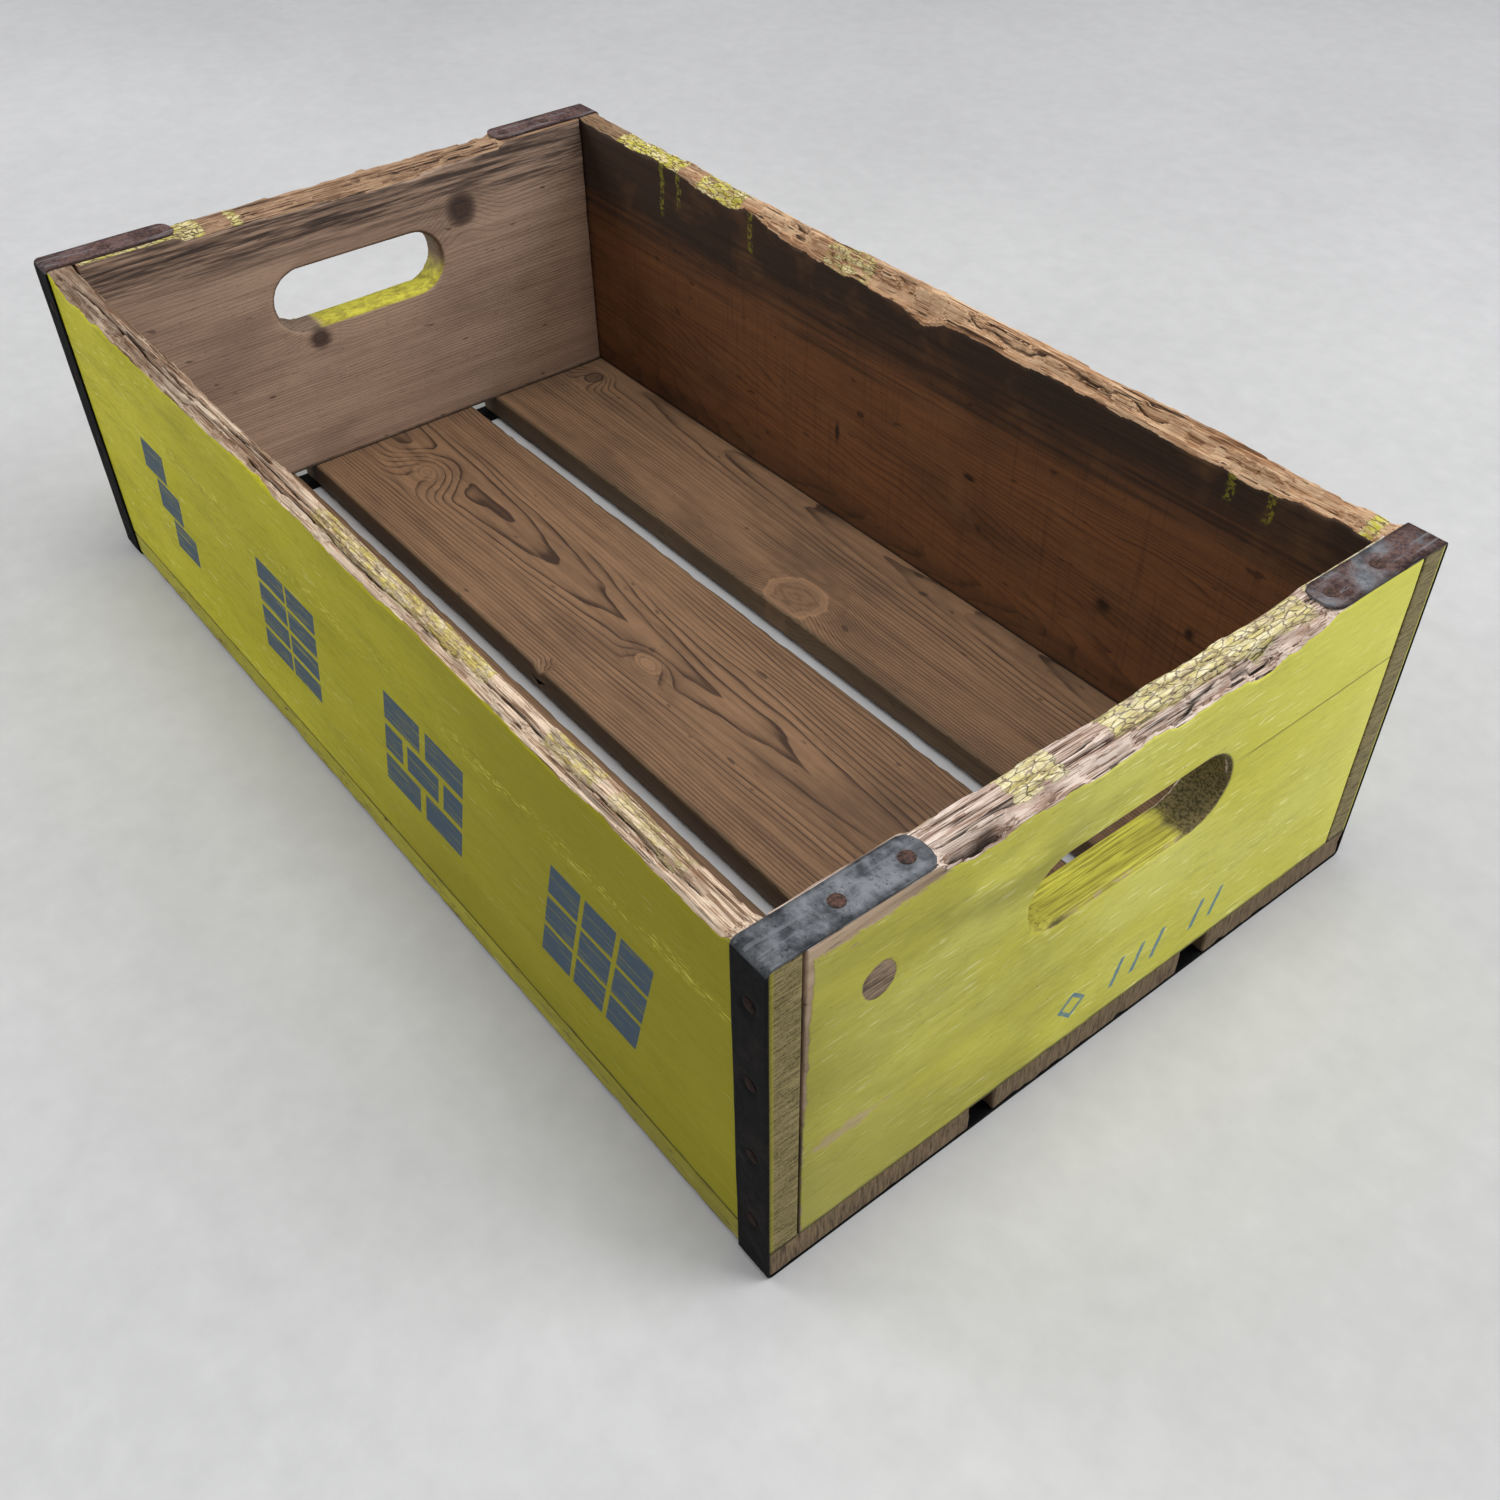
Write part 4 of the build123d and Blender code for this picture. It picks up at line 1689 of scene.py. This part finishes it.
@dataclass(frozen=True)
class HoopSteel:
    """Galvanised hoop steel that has dulled in some places and rusted in others, with a painted sheen along
    its tab tops.
    """

    zinc: Colour = chart(136, 139, 144)
    dull: Colour = chart(74, 78, 83)
    black: Colour = chart(10, 11, 12)
    rust: Colour = chart(66, 46, 46)
    bright_rust: Colour = chart(116, 88, 80)
    middle_x_mm: float = 286.5
    top_z_mm: tuple[float, float] = (170.5, 172.0)

    def finish(self, name: str, right: bool) -> bpy.types.Material:
        """Makes one strap's material.

        Args:
            name: the material's name.
            right: whether it is the right strap, whose front tab has kept its zinc.

        Returns:
            The material.
        """
        shader = Shader(name)
        spangle = shader.noise((9, 9, 9), 5.0, 0.68, 0.15, 5.0 if right else 9.0)
        fine = shader.noise((1.6, 1.6, 1.6), 3.0, 0.7, 0.0, 7.0)
        blots = shader.noise((16, 16, 16), 4.0, 0.6, 0.5, 11.0)
        on_top = shader.z.rise(*self.top_z_mm)
        colour = shader.mix(spangle.rise(0.32, 0.66), self.dull, self.zinc)
        rusted = (blots - 0.5) * 1.4 + (shader.y * 0.0036 + 0.18 if right else 0.95)
        rust = shader.mix(fine.rise(0.35, 0.65), self.rust, self.bright_rust)
        colour = shader.mix(rusted.rise(0.35, 0.75) * on_top * 0.9, colour, rust)
        grime = (1 - on_top) * (0.8 + blots * 0.5) + blots.rise(0.5, 0.68) * 0.5
        colour = shader.mix(grime, colour, self.black)
        # Grime darkens the tab tops toward their edges, which also paints a lighter sheen along each tab's
        # middle.
        edge_grime_and_sheen = abs(abs(shader.x) - self.middle_x_mm).rise(5.6, 8.4).most(abs(shader.y).rise(152, 167))
        colour = shader.mix(edge_grime_and_sheen * on_top * (0.25 + blots * 0.5), colour, self.black)
        colour = shader.mix(fine.rise(0.58, 0.68) * 0.5, colour, self.black)
        scuffs = shader.noise((2, 30, 2), 3.0, 0.6, 0.0, 17.0).rise(0.56, 0.66) * on_top * 0.4
        colour = shader.mix(scuffs, colour, self.zinc)
        side_rust = blots.rise(0.52, 0.66) * (1 - on_top) * 0.16
        colour = shader.mix(side_rust, colour, self.rust)
        roughness = 0.5 + fine * 0.3 + rusted.rise(0.35, 0.75) * 0.15
        metallic = (1 - rusted.rise(0.3, 0.7)) * 0.6 * on_top
        shader.dress(colour, roughness, spangle * 0.5 + fine * 0.5, 0.35, 0.7, metallic, 0.07)
        return shader.material


@dataclass
class NailRow:
    """Evenly spaced countersunk nails, all driven the same way."""

    node: str
    count: int
    spread: Axis
    heading: tuple[int, int, int]
    head_radius_mm: float = 3.0
    sunk_mm: float = 0.06
    point_mm: float = 4.0
    disc_share: float = 0.7

    def places(self) -> list[np.ndarray]:
        """Finds the nails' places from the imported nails' box.

        Returns:
            The centres of the nails' heads, in millimetres.
        """
        low, high = packed_box(self.node)
        middle = (low + high) / 2
        axis = self.spread.value
        facing = int(np.argmax(np.abs(self.heading)))
        middle[facing] = high[facing] if self.heading[facing] > 0 else low[facing]
        first = low[axis] + self.head_radius_mm
        last = high[axis] - self.head_radius_mm
        spots = []
        for index in range(self.count):
            spot = middle.copy()
            spot[axis] = first + (last - first) * index / max(self.count - 1, 1)
            spots.append(spot)
        return spots

    def length_mm(self) -> float:
        """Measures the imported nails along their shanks.

        Returns:
            How long each nail is.
        """
        low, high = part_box(self.node)
        facing = int(np.argmax(np.abs(self.heading)))
        return float((high - low)[facing]) / MM

    def build(self, material: bpy.types.Material) -> Piece:
        """Forges one nail, copies it to each place and joins the copies.

        Args:
            material: the nails' finish.

        Returns:
            The row of nails.
        """
        pattern = self.forge()
        copies = []
        turn = Vector((0, 0, 1)).rotation_difference(Vector(self.heading)).to_matrix().to_4x4()
        for index, spot in enumerate(self.places()):
            nail = pattern.copy()
            nail.data = pattern.data.copy()
            bpy.context.scene.collection.objects.link(nail)
            spin = Matrix.Rotation(1.3 * index, 4, "Z")
            sunk = [s - h * self.sunk_mm for s, h in zip(spot, self.heading)]
            nail.data.transform(Matrix.Translation([s * MM for s in sunk]) @ turn @ spin)
            copies.append(nail)
        bpy.data.objects.remove(pattern)
        deselect_all()
        for nail in copies:
            nail.select_set(True)
        bpy.context.view_layer.objects.active = copies[0]
        if len(copies) > 1:
            bpy.ops.object.join()
        row = bpy.context.active_object
        row.name = self.node.capitalize()
        row.data.name = row.name
        shade(row, 40)
        hand_over(row, self.node, material)
        return row

    def forge(self) -> Piece:
        """Draws a nail down from a disc: a hammered head, its cone, a shank and a point.

        Returns:
            The nail, pointing down from the origin.
        """
        deselect_all()
        radius = self.head_radius_mm
        bpy.ops.mesh.primitive_circle_add(vertices=20, radius=radius * self.disc_share * MM, fill_type="NGON")
        nail = bpy.context.active_object
        bpy.ops.object.mode_set(mode="EDIT")
        bpy.ops.mesh.select_all(action="SELECT")
        bpy.ops.mesh.inset(thickness=radius * 0.3 * MM, depth=0)
        bpy.ops.mesh.inset(thickness=radius * 0.2 * MM, depth=0)
        bpy.ops.object.mode_set(mode="OBJECT")
        self.draw_down(nail)
        points = points_of(nail)
        uneven = Unevenness(7)
        span = np.hypot(points[:, 0], points[:, 1])
        flat = points[:, 2] > -0.3
        points[:, 2] -= np.where(flat, 0.1 + 0.1 * uneven.at(points[:, 0], points[:, 1]), 0)
        points[:, 2] -= np.where(flat, 0.3 * (span / radius) ** 3, 0)
        set_points(nail, points)
        face_outwards(nail)
        return nail

    def draw_down(self, nail: Piece) -> None:
        """Extrudes the head's rim into the cone, the shank and the point.

        Args:
            nail: the head's disc.
        """
        length = self.length_mm()
        shank = self.point_mm - length
        steps = ((1.0, -0.15), (0.97, -0.35), (0.42, -1.35), (0.42, shank), (0.02, 0.4 - length))
        level, reach = 0.0, self.disc_share
        self._select_rim(nail)
        for share, drop in steps:
            edit_edges(nail)
            bpy.ops.mesh.extrude_region_move(TRANSFORM_OT_translate={"value": (0, 0, (drop - level) * MM)})
            bpy.ops.transform.resize(value=(share / reach, share / reach, 1))
            bpy.ops.object.mode_set(mode="OBJECT")
            level, reach = drop, share
        edit_edges(nail)
        bpy.ops.mesh.edge_face_add()
        bpy.ops.object.mode_set(mode="OBJECT")

    def _select_rim(self, nail: Piece) -> None:
        """Selects the disc's outer edges.

        Args:
            nail: the head's disc.
        """
        limit = self.head_radius_mm * self.disc_share * 0.97

        def rim(first: np.ndarray, second: np.ndarray) -> np.ndarray:
            """Says which edges lie on the disc's rim."""
            outer = [np.hypot(end[:, 0], end[:, 1]) > limit for end in (first, second)]
            return outer[0] & outer[1]

        select_edges(nail, rim)


@dataclass
class Strap:
    """One steel band round an end, from tab to tab under the slats."""

    name: str
    node: str
    end: int
    tab_mm: float = 70.0
    tip_mm: float = 6.0
    thick_mm: float = 1.2
    bend_mm: float = 2.6
    step_mm: float = 2.0
    tab_step_mm: float = 0.8
    columns: int = 16
    dimple_mm: float = 5.5
    dimple_deep_mm: float = 0.75
    bend_points: int = 7
    eased_mm: float = 0.3
    seed: int = 21

    def path(self) -> tuple[np.ndarray, np.ndarray]:
        """Lays out the band's middle line, seen along the crate.

        Returns:
            The line's points as Y and Z in millimetres, and the outward direction at each.
        """
        low, high = packed_box(self.node)
        inset = self.thick_mm / 2
        side = high[1] - inset
        top, bottom = high[2] - inset, low[2] + inset
        bend = self.bend_mm
        tip = high[1] - self.tab_mm
        runs = [
            ((-tip, top), (-side + bend, top), (0, 1)),
            ((-side + bend, top - bend), 90),
            ((-side, top - bend), (-side, bottom + bend), (-1, 0)),
            ((-side + bend, bottom + bend), 180),
            ((-side + bend, bottom), (side - bend, bottom), (0, -1)),
            ((side - bend, bottom + bend), 270),
            ((side, bottom + bend), (side, top - bend), (1, 0)),
            ((side - bend, top - bend), 0),
            ((side - bend, top), (tip, top), (0, 1)),
        ]
        line, outward = [], []
        for run in runs:
            if len(run) == 3:
                start, stop, normal = np.array(run[0]), np.array(run[1]), run[2]
                step = self.tab_step_mm if normal == (0, 1) else self.step_mm
                count = max(2, round(float(np.hypot(*(stop - start))) / step))
                for index in range(count):
                    line.append(start + (stop - start) * (index + 0.5) / count)
                    outward.append(normal)
            else:
                centre, angle = run
                for index in range(self.bend_points):
                    turn = math.radians(angle + 90 * index / (self.bend_points - 1))
                    normal = (math.cos(turn), math.sin(turn))
                    line.append(np.array(centre) + bend * np.array(normal))
                    outward.append(normal)
        line[0] = np.array((-tip, top))
        line[-1] = np.array((tip, top))
        return np.array(line), np.array(outward)

    def build(self, material: bpy.types.Material, nails: Sequence[np.ndarray]) -> Piece:
        """Cuts a flat blank, bends it round the crate's end and dents it at the nails.

        Args:
            material: the strap's finish.
            nails: the centres of the nails' heads that hold it, in millimetres.

        Returns:
            The finished strap.
        """
        line, outward = self.path()
        deselect_all()
        bpy.ops.mesh.primitive_grid_add(x_subdivisions=self.columns, y_subdivisions=len(line) - 1, size=2.0)
        piece = bpy.context.active_object
        piece.name = self.name
        piece.data.name = self.name
        self.bend(piece, line, outward, nails)
        solid = piece.modifiers.new("thickness", "SOLIDIFY")
        solid.thickness = self.thick_mm * MM
        solid.offset = 0.0
        bevel = piece.modifiers.new("eased", "BEVEL")
        bevel.width = self.eased_mm * MM
        bevel.segments = 2
        bevel.angle_limit = math.radians(50)
        finish_modifiers(piece)
        face_outwards(piece)
        self.keep_inside(piece)
        shade(piece, 40)
        hand_over(piece, self.node, material)
        return piece

    def bend(self, piece: Piece, line: np.ndarray, outward: np.ndarray,
             nails: Sequence[np.ndarray]) -> None:
        """Bends the blank's vertices round the path.

        Args:
            piece: the flat blank.
            line: the path's points.
            outward: the outward direction at each point.
            nails: the nails' heads, where the steel is dented.
        """
        low, high = packed_box(self.node)
        middle = (low[0] + high[0]) / 2
        half = (high[0] - low[0]) / 2
        points = points_of(piece) * MM
        last = len(line) - 1
        row = np.clip(np.round((points[:, 1] + 1) / 2 * last), 0, last).astype(int)
        gaps = np.hypot(*np.diff(line, axis=0).T)
        run = np.concatenate([[0], np.cumsum(gaps)])
        from_tip = np.minimum(run, run[-1] - run)[row]
        inset = np.clip(self.tip_mm - from_tip, 0, self.tip_mm)
        shy = self.tip_mm - np.sqrt(np.maximum(self.tip_mm**2 - inset**2, 0))
        uneven = Unevenness(self.seed)
        width = points[:, 0] * (half - shy)
        inner = width * self.end < 0
        width = width * np.where(inner, 1 - 0.02 - 0.02 * uneven.layered(run[row] / 30), 1)
        dent = 0.16 * (1 + uneven.layered(run[row] / 26, points[:, 0] * 1.3))
        shape = np.stack([middle + width, line[row, 0], line[row, 1]], 1)
        for nail in nails:
            away = np.sqrt(((shape - nail) ** 2).sum(1))
            dent = np.maximum(dent, self.dimple_deep_mm * smooth(1.25 - away / self.dimple_mm) + 0.1)
        shape[:, 1:] -= outward[row] * dent[:, None]
        set_points(piece, shape)

    def keep_inside(self, piece: Piece) -> None:
        """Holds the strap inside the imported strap's own box."""
        set_points(piece, np.clip(points_of(piece), *packed_box(self.node)))


def nail_finish(name: str, light: float) -> bpy.types.Material:
    """Makes a rusty nail's material.

    Args:
        name: the material's name.
        light: how light the rust is, from 0 to 1.

    Returns:
        The material.
    """
    shader = Shader(name)
    fine = shader.noise((1.2, 1.2, 1.2), 3.0, 0.7, 0.0, 3.0)
    blots = shader.noise((5, 5, 5), 3.0, 0.6, 0.0, 5.0)
    rust = dimmed(chart(98, 68, 58), light)
    colour = shader.mix(fine.rise(0.35, 0.65), dimmed(chart(34, 26, 24), light), rust)
    colour = shader.mix(blots.rise(0.5, 0.7) * 0.5, colour, dimmed(chart(70, 68, 70), light))
    shader.dress(colour, 0.62 + fine * 0.25, fine, 0.25, 0.8, 0.2, 0.4 * light)
    return shader.material


# ---------------------------------------------------------------- studio


@dataclass
class Studio:
    """A pale floor, soft lights and the camera, in metres."""

    floor_size: float = 12.0
    camera_place: Triple = (0.5090, -0.3381, 0.5122)
    camera_right: Triple = (0.62171, 0.78318, -0.01017)
    camera_down: Triple = (0.5268, -0.42773, -0.73453)
    lens_mm: float = 36.77

    def lay_floor(self) -> None:
        """Lays the floor under the crate."""
        deselect_all()
        bpy.ops.mesh.primitive_grid_add(x_subdivisions=24, y_subdivisions=24, size=self.floor_size)
        floor = bpy.context.active_object
        floor.name = "Floor"
        shader = Shader("Pale_floor")
        broad = shader.noise((420, 420, 420), 4.0, 0.55)
        fine = shader.noise((14, 14, 14), 4.0, 0.6, 0.0, 2.0)
        tone = broad * 0.6 + fine * 0.4
        colour = shader.ramp(tone, [(0.35, chart(189, 189, 190)), (0.65, chart(202, 202, 203))])
        shader.dress(colour, 0.6 + fine * 0.15, fine, 0.15, 0.3, 0.0, 0.3)
        floor.data.materials.append(shader.material)

    def light(self) -> None:
        """Hangs the soft lights and sets the surrounding light."""
        lamps = (
            ("Key", (1.7, 1.6, 1.9), (0.0, 0.0, 0.05), 2.0, 44.0),
            ("Top", (0.25, 0.1, 2.3), (0.0, 0.0, 0.0), 1.1, 24.0),
            ("Left_fill", (-1.3, -1.0, 1.1), (-0.4, -0.1, 0.1), 1.2, 13.0),
        )
        for name, place, target, size, power in lamps:
            lamp = bpy.data.lights.new(name, "AREA")
            lamp.shape = "DISK"
            lamp.size = size
            lamp.energy = power
            holder = bpy.data.objects.new(name, lamp)
            holder.location = place
            holder.rotation_euler = (Vector(target) - Vector(place)).to_track_quat("-Z", "Y").to_euler()
            bpy.context.scene.collection.objects.link(holder)
        world = bpy.data.worlds.new("Studio_air")
        world.use_nodes = True
        air = world.node_tree.nodes["Background"]
        air.inputs["Color"].default_value = (0.97, 0.98, 1.0, 1.0)
        air.inputs["Strength"].default_value = 0.38
        bpy.context.scene.world = world
        bpy.context.scene.view_settings.view_transform = "Standard"

    def aim_camera(self) -> None:
        """Sets the camera where it looks down on the crate's right end and front."""
        right = Vector(self.camera_right).normalized()
        up = -Vector(self.camera_down)
        up = (up - up.dot(right) * right).normalized()
        back = right.cross(up)
        turn = Matrix((right, up, back)).transposed().to_4x4()
        lens = bpy.data.cameras.new("Camera")
        lens.lens = self.lens_mm
        lens.sensor_width = 36.0
        lens.clip_start = 0.01
        camera = bpy.data.objects.new("Camera", lens)
        camera.matrix_world = Matrix.Translation(self.camera_place) @ turn
        bpy.context.scene.collection.objects.link(camera)
        bpy.context.scene.camera = camera


# ---------------------------------------------------------------- the crate


FRONT_PAINT = CratePaint(fresh=chart(193, 187, 34), faded=chart(202, 196, 52), grimy=chart(112, 104, 28))


def front_side() -> FrontSide:
    """Describes the front long side.

    Returns:
        The board.
    """
    wear = RimWear(
        outer_drop_mm=((-295, 0.5), (-270, 3), (-255, 4.5), (-200, 5), (-150, 4.5), (-125, 2.5), (-60, 2),
                       (0, 2), (40, 3), (90, 2), (150, 2.5), (210, 2), (255, 2.5), (270, 2), (295, 0.5)),
        inner_drop_mm=((-295, 0.3), (-200, 1), (-60, 1), (0, 0.6), (60, 1.2), (150, 2.6), (190, 1),
                       (240, 2), (295, 0.3)),
        outer_ledge_mm=5.2, inner_ledge_mm=3.0, outer_round_mm=2.2, inner_round_mm=2.4,
        outer_torn_mm=1.5, inner_torn_mm=2.6, kept_inward_mm=4.5, kept_colour=chart(212, 196, 106),
        kept_pale=chart(224, 208, 174), kept_cell_mm=(5.0, 1.4), kept_cracks=0.4, kept_worn=0.9,
        kept_paint=((-4, 60, 0.75), (50, 136, 1.0), (166, 202, 0.95), (202, 252, 0.6)),
        splits=(Split(1.2, -262, -110, 1.7, 4.0), Split(-1.6, -200, -40, 1.4, 3.0),
                Split(2.6, -60, 120, 1.6, 3.5), Split(-0.5, -120, 30, 1.2, 2.2),
                Split(0.8, 100, 190, 1.3, 2.4), Split(2.2, 180, 262, 1.3, 2.0)),
        seed=11,
    )
    timber = Timber(
        Axis.X, Axis.Z, Axis.Y, chart(150, 118, 88), chart(96, 66, 44), chart(62, 46, 34),
        heart_across_mm=70, heart_depth_mm=-120, slope=0.02, ring_mm=3.2, wander_mm=8, line=0.5, stained=0.5,
        shift=1.0,
    )
    fibres = Fibres(chart(230, 208, 184), chart(162, 130, 104), chart(64, 45, 35), gappy=0.6)
    return FrontSide(
        "Front_side_board", "front_side_board", Axis.X, -1, wear, timber, fibres, FRONT_PAINT, 0.5, gloss=0.1,
    )


def back_side() -> BackSide:
    """Describes the back long side.

    Returns:
        The board.
    """
    wear = RimWear(
        outer_drop_mm=((-295, 0.3), (-200, 1.5), (-60, 1.5), (-16, 3), (30, 4), (62, 3), (100, 1.5),
                       (200, 2.5), (270, 3), (295, 0.3)),
        inner_drop_mm=((-295, 0.3), (-190, 1), (-175, 2), (-150, 6.5), (-135, 6), (-120, 2), (-95, 4),
                       (-75, 7), (-40, 8), (-5, 10), (20, 10), (38, 9), (60, 6), (100, 6), (118, 8),
                       (150, 5.5), (183, 7), (230, 5), (270, 4), (295, 0.3)),
        outer_ledge_mm=3.6, inner_ledge_mm=6.5, outer_round_mm=2.4, inner_round_mm=2.4,
        outer_torn_mm=1.6, inner_torn_mm=3.6, kept_colour=chart(206, 198, 74),
        kept_paint=((-244, -178, 0.95), (-168, -122, 0.95), (-60, -18, 0.55), (262, 276, 0.8)),
        splits=(Split(1.0, -120, 20, 1.5, 3.5), Split(-1.5, 40, 170, 1.3, 2.0),
                Split(2.0, 120, 262, 1.4, 2.5)),
        seed=12,
    )
    timber = Timber(
        Axis.X, Axis.Z, Axis.Y, chart(126, 82, 49), chart(70, 44, 27), chart(46, 32, 20),
        heart_across_mm=20, heart_depth_mm=230, slope=-0.05, ring_mm=1.9, wander_mm=10, line=0.55,
        stained=0.5, shift=4.0,
    )
    fibres = Fibres(chart(220, 186, 150), chart(172, 128, 92), chart(84, 56, 38))
    return BackSide("Back_side_board", "back_side_board", Axis.X, 1, wear, timber, fibres, CratePaint(), 0.4)


def right_end() -> RightEnd:
    """Describes the right end, nearest the camera.

    Returns:
        The board.
    """
    wear = RimWear(
        outer_drop_mm=((-153, 2), (-104, 2.5), (-94, 5), (-82, 8), (-60, 5), (-40, 4.5), (0, 5.5),
                       (40, 7.5), (60, 8), (80, 6), (95, 3), (110, 2), (153, 2)),
        inner_drop_mm=((-153, 0.5), (-95, 1), (-60, 2), (0, 2), (60, 2.5), (95, 1), (153, 0.5)),
        outer_ledge_mm=5.5, inner_ledge_mm=3.5, outer_round_mm=2.2, inner_round_mm=3.2,
        outer_torn_mm=1.7, inner_torn_mm=2.4, kept_inward_mm=5.5, kept_colour=chart(216, 204, 138),
        kept_pale=chart(240, 231, 192), kept_cracks=0.75, kept_worn=0.15,
        kept_paint=((-100, -88, 0.8), (-64, -34, 1.0), (-16, 97, 1.15), (96, 153, 0.9)),
        splits=(Split(3.4, -42, 98, 1.9, 5.0), Split(-0.6, -90, -15, 1.6, 3.0), Split(1.2, -20, 60, 1.3, 2.2),
                Split(6.2, -97, -66, 5.5, 7.0), Split(-3.2, 10, 95, 1.3, 2.0), Split(6.5, -10, 70, 1.3, 2.5),
                Split(-4.5, -94, -60, 1.4, 2.0), Split(2.6, -96, -44, 1.6, 2.6)),
        roughness=1.15, seed=13,
    )
    timber = Timber(
        Axis.Y, Axis.Z, Axis.X, chart(188, 163, 137), chart(142, 115, 90), chart(84, 67, 52),
        heart_across_mm=130, heart_depth_mm=380, slope=0.03, ring_mm=3.0, wander_mm=8, line=0.5,
        stained=0.5, shift=7.0,
        knots=(Knot(-121.5, 135, 7.5, 8.6, 0.75, 0.7),),
    )
    fibres = Fibres(chart(230, 212, 198), chart(164, 134, 116), chart(54, 38, 32))
    paint = CratePaint(scratched=0.85, scratch=chart(240, 237, 152))
    return RightEnd(
        "Right_end_board", "right_end_board", Axis.Y, 1, wear, timber, fibres, paint, 0.35,
        long_parts=20, thick_parts=27, slot_middle_mm=(1.5, 116.5),
    )


def left_end() -> LeftEnd:
    """Describes the left end, whose inner face shows.

    Returns:
        The board.
    """
    wear = RimWear(
        outer_drop_mm=((-153, 1), (-90, 1.5), (-60, 2.5), (0, 1.5), (60, 3), (97, 1.5), (153, 1)),
        inner_drop_mm=((-153, 0.8), (-97, 1.5), (-85, 2), (-50, 2.5), (-10, 4.5), (10, 5), (30, 4.5),
                       (60, 2.5), (90, 2), (153, 0.8)),
        outer_ledge_mm=4.0, inner_ledge_mm=6.0, outer_round_mm=2.2, inner_round_mm=2.2,
        outer_torn_mm=2.0, inner_torn_mm=1.8, kept_colour=chart(200, 188, 100),
        kept_paint=((-153, -80, 1.0), (-72, -58, 0.7)),
        splits=(Split(0.5, -80, 30, 1.6, 3.0), Split(-3, 0, 90, 1.5, 2.5)),
        seed=14,
    )
    timber = Timber(
        Axis.Y, Axis.Z, Axis.X, chart(186, 158, 137), chart(130, 104, 86), chart(72, 55, 49),
        heart_across_mm=190, heart_depth_mm=-330, slope=0.06, ring_mm=1.7, wander_mm=9, line=0.5,
        stained=0.35, shift=10.0,
        knots=(Knot(66, 141, 9, 10, 0.9, 0.1), Knot(-34, 93, 8, 5, 0.9, 0.1)),
    )
    fibres = Fibres(chart(178, 146, 116), chart(124, 94, 72), chart(52, 38, 34))
    return LeftEnd(
        "Left_end_board", "left_end_board", Axis.Y, -1, wear, timber, fibres, CratePaint(), 0.5,
        long_parts=20, thick_parts=27, slot_middle_mm=(-3.0, 118.0),
    )


def slats() -> list[Slat]:
    """Describes the three floor slats.

    Returns:
        The slats, from front to back.
    """
    brown = (chart(147, 113, 83), chart(64, 43, 29), chart(60, 42, 30))
    front = Timber(
        Axis.X, Axis.Y, Axis.Z, *brown, heart_across_mm=-118, heart_depth_mm=-46, slope=0.02, ring_mm=1.4,
        wander_mm=4, line=0.85, stained=0.6, shift=20.0,
    )
    middle = Timber(
        Axis.X, Axis.Y, Axis.Z, *brown, heart_across_mm=4, heart_depth_mm=-34, slope=0.02, ring_mm=1.5,
        wander_mm=4.5, line=0.9, stained=0.5, shift=26.0,
        knots=(Knot(2, -8, 8, 4.2, 0.0, pale_ring=0.5), Knot(-228, -6, 12, 9, 0.3)),
    )
    back = Timber(
        Axis.X, Axis.Y, Axis.Z, *brown, heart_across_mm=150, heart_depth_mm=-40, slope=-0.02, ring_mm=1.4,
        wander_mm=4, line=0.85, stained=0.5, shift=31.0,
        knots=(Knot(6, 86, 17, 13, 0.5, pale_ring=0.6), Knot(-258, 135, 6, 6, 1.0, 1.0)),
    )
    return [
        Slat("Front_slat", "front_slat", front, 31, painted_side=-1, paint=FRONT_PAINT),
        Slat("Middle_slat", "middle_slat", middle, 32, notch_mm=(-32, -54, 12)),
        Slat("Back_slat", "back_slat", back, 33, painted_side=1),
    ]


def nail_rows() -> dict[str, list[NailRow]]:
    """Lists every row of nails.

    Returns:
        The rows, under the name of the strap that their heads dent.
    """
    rows: dict[str, list[NailRow]] = {"left": [], "right": [], "none": []}
    for end in ("left", "right"):
        for side, facing in (("front", -1), ("back", 1)):
            rows[end].append(NailRow(f"{end}_strap_{side}_leg_nails", 4, Axis.Z, (0, facing, 0)))
            rows[end].append(NailRow(f"{end}_strap_{side}_tab_nails", 2, Axis.Y, (0, 0, 1)))
        for slat in ("front", "middle", "back"):
            rows[end].append(NailRow(f"{slat}_slat_{end}_nails", 2, Axis.Y, (0, 0, -1)))
    for side in ("front", "back"):
        rows["none"].append(NailRow(f"{side}_slat_side_nails", 4, Axis.X, (0, 0, -1)))
    return rows


def main() -> None:
    """Builds the crate and the studio."""
    logging.basicConfig(level=logging.INFO, format="%(message)s")
    for board in (front_side(), back_side(), right_end(), left_end(), *slats()):
        piece = board.build()
        log.info("%s: %d faces", piece.name, len(piece.data.polygons))
    rows = nail_rows()
    tab_rust = nail_finish("Tab_nail_rust", 1.0)
    dark_rust = nail_finish("Dark_nail_rust", 0.3)
    for end, place in (("left", -1), ("right", 1)):
        strap = Strap(f"{end.capitalize()}_end_strap", f"{end}_end_strap", place, seed=21 + place)
        heads = [spot for row in rows[end] for spot in row.places()]
        piece = strap.build(HoopSteel().finish(f"{end.capitalize()}_hoop_steel", place > 0), heads)
        log.info("%s: %d faces", piece.name, len(piece.data.polygons))
    for row in rows["left"] + rows["right"] + rows["none"]:
        piece = row.build(tab_rust if row.heading == (0, 0, 1) else dark_rust)
        log.info("%s: %d nails", piece.name, row.count)
    studio = Studio()
    studio.lay_floor()
    studio.light()
    studio.aim_camera()


if __name__ == "__main__":
    main()
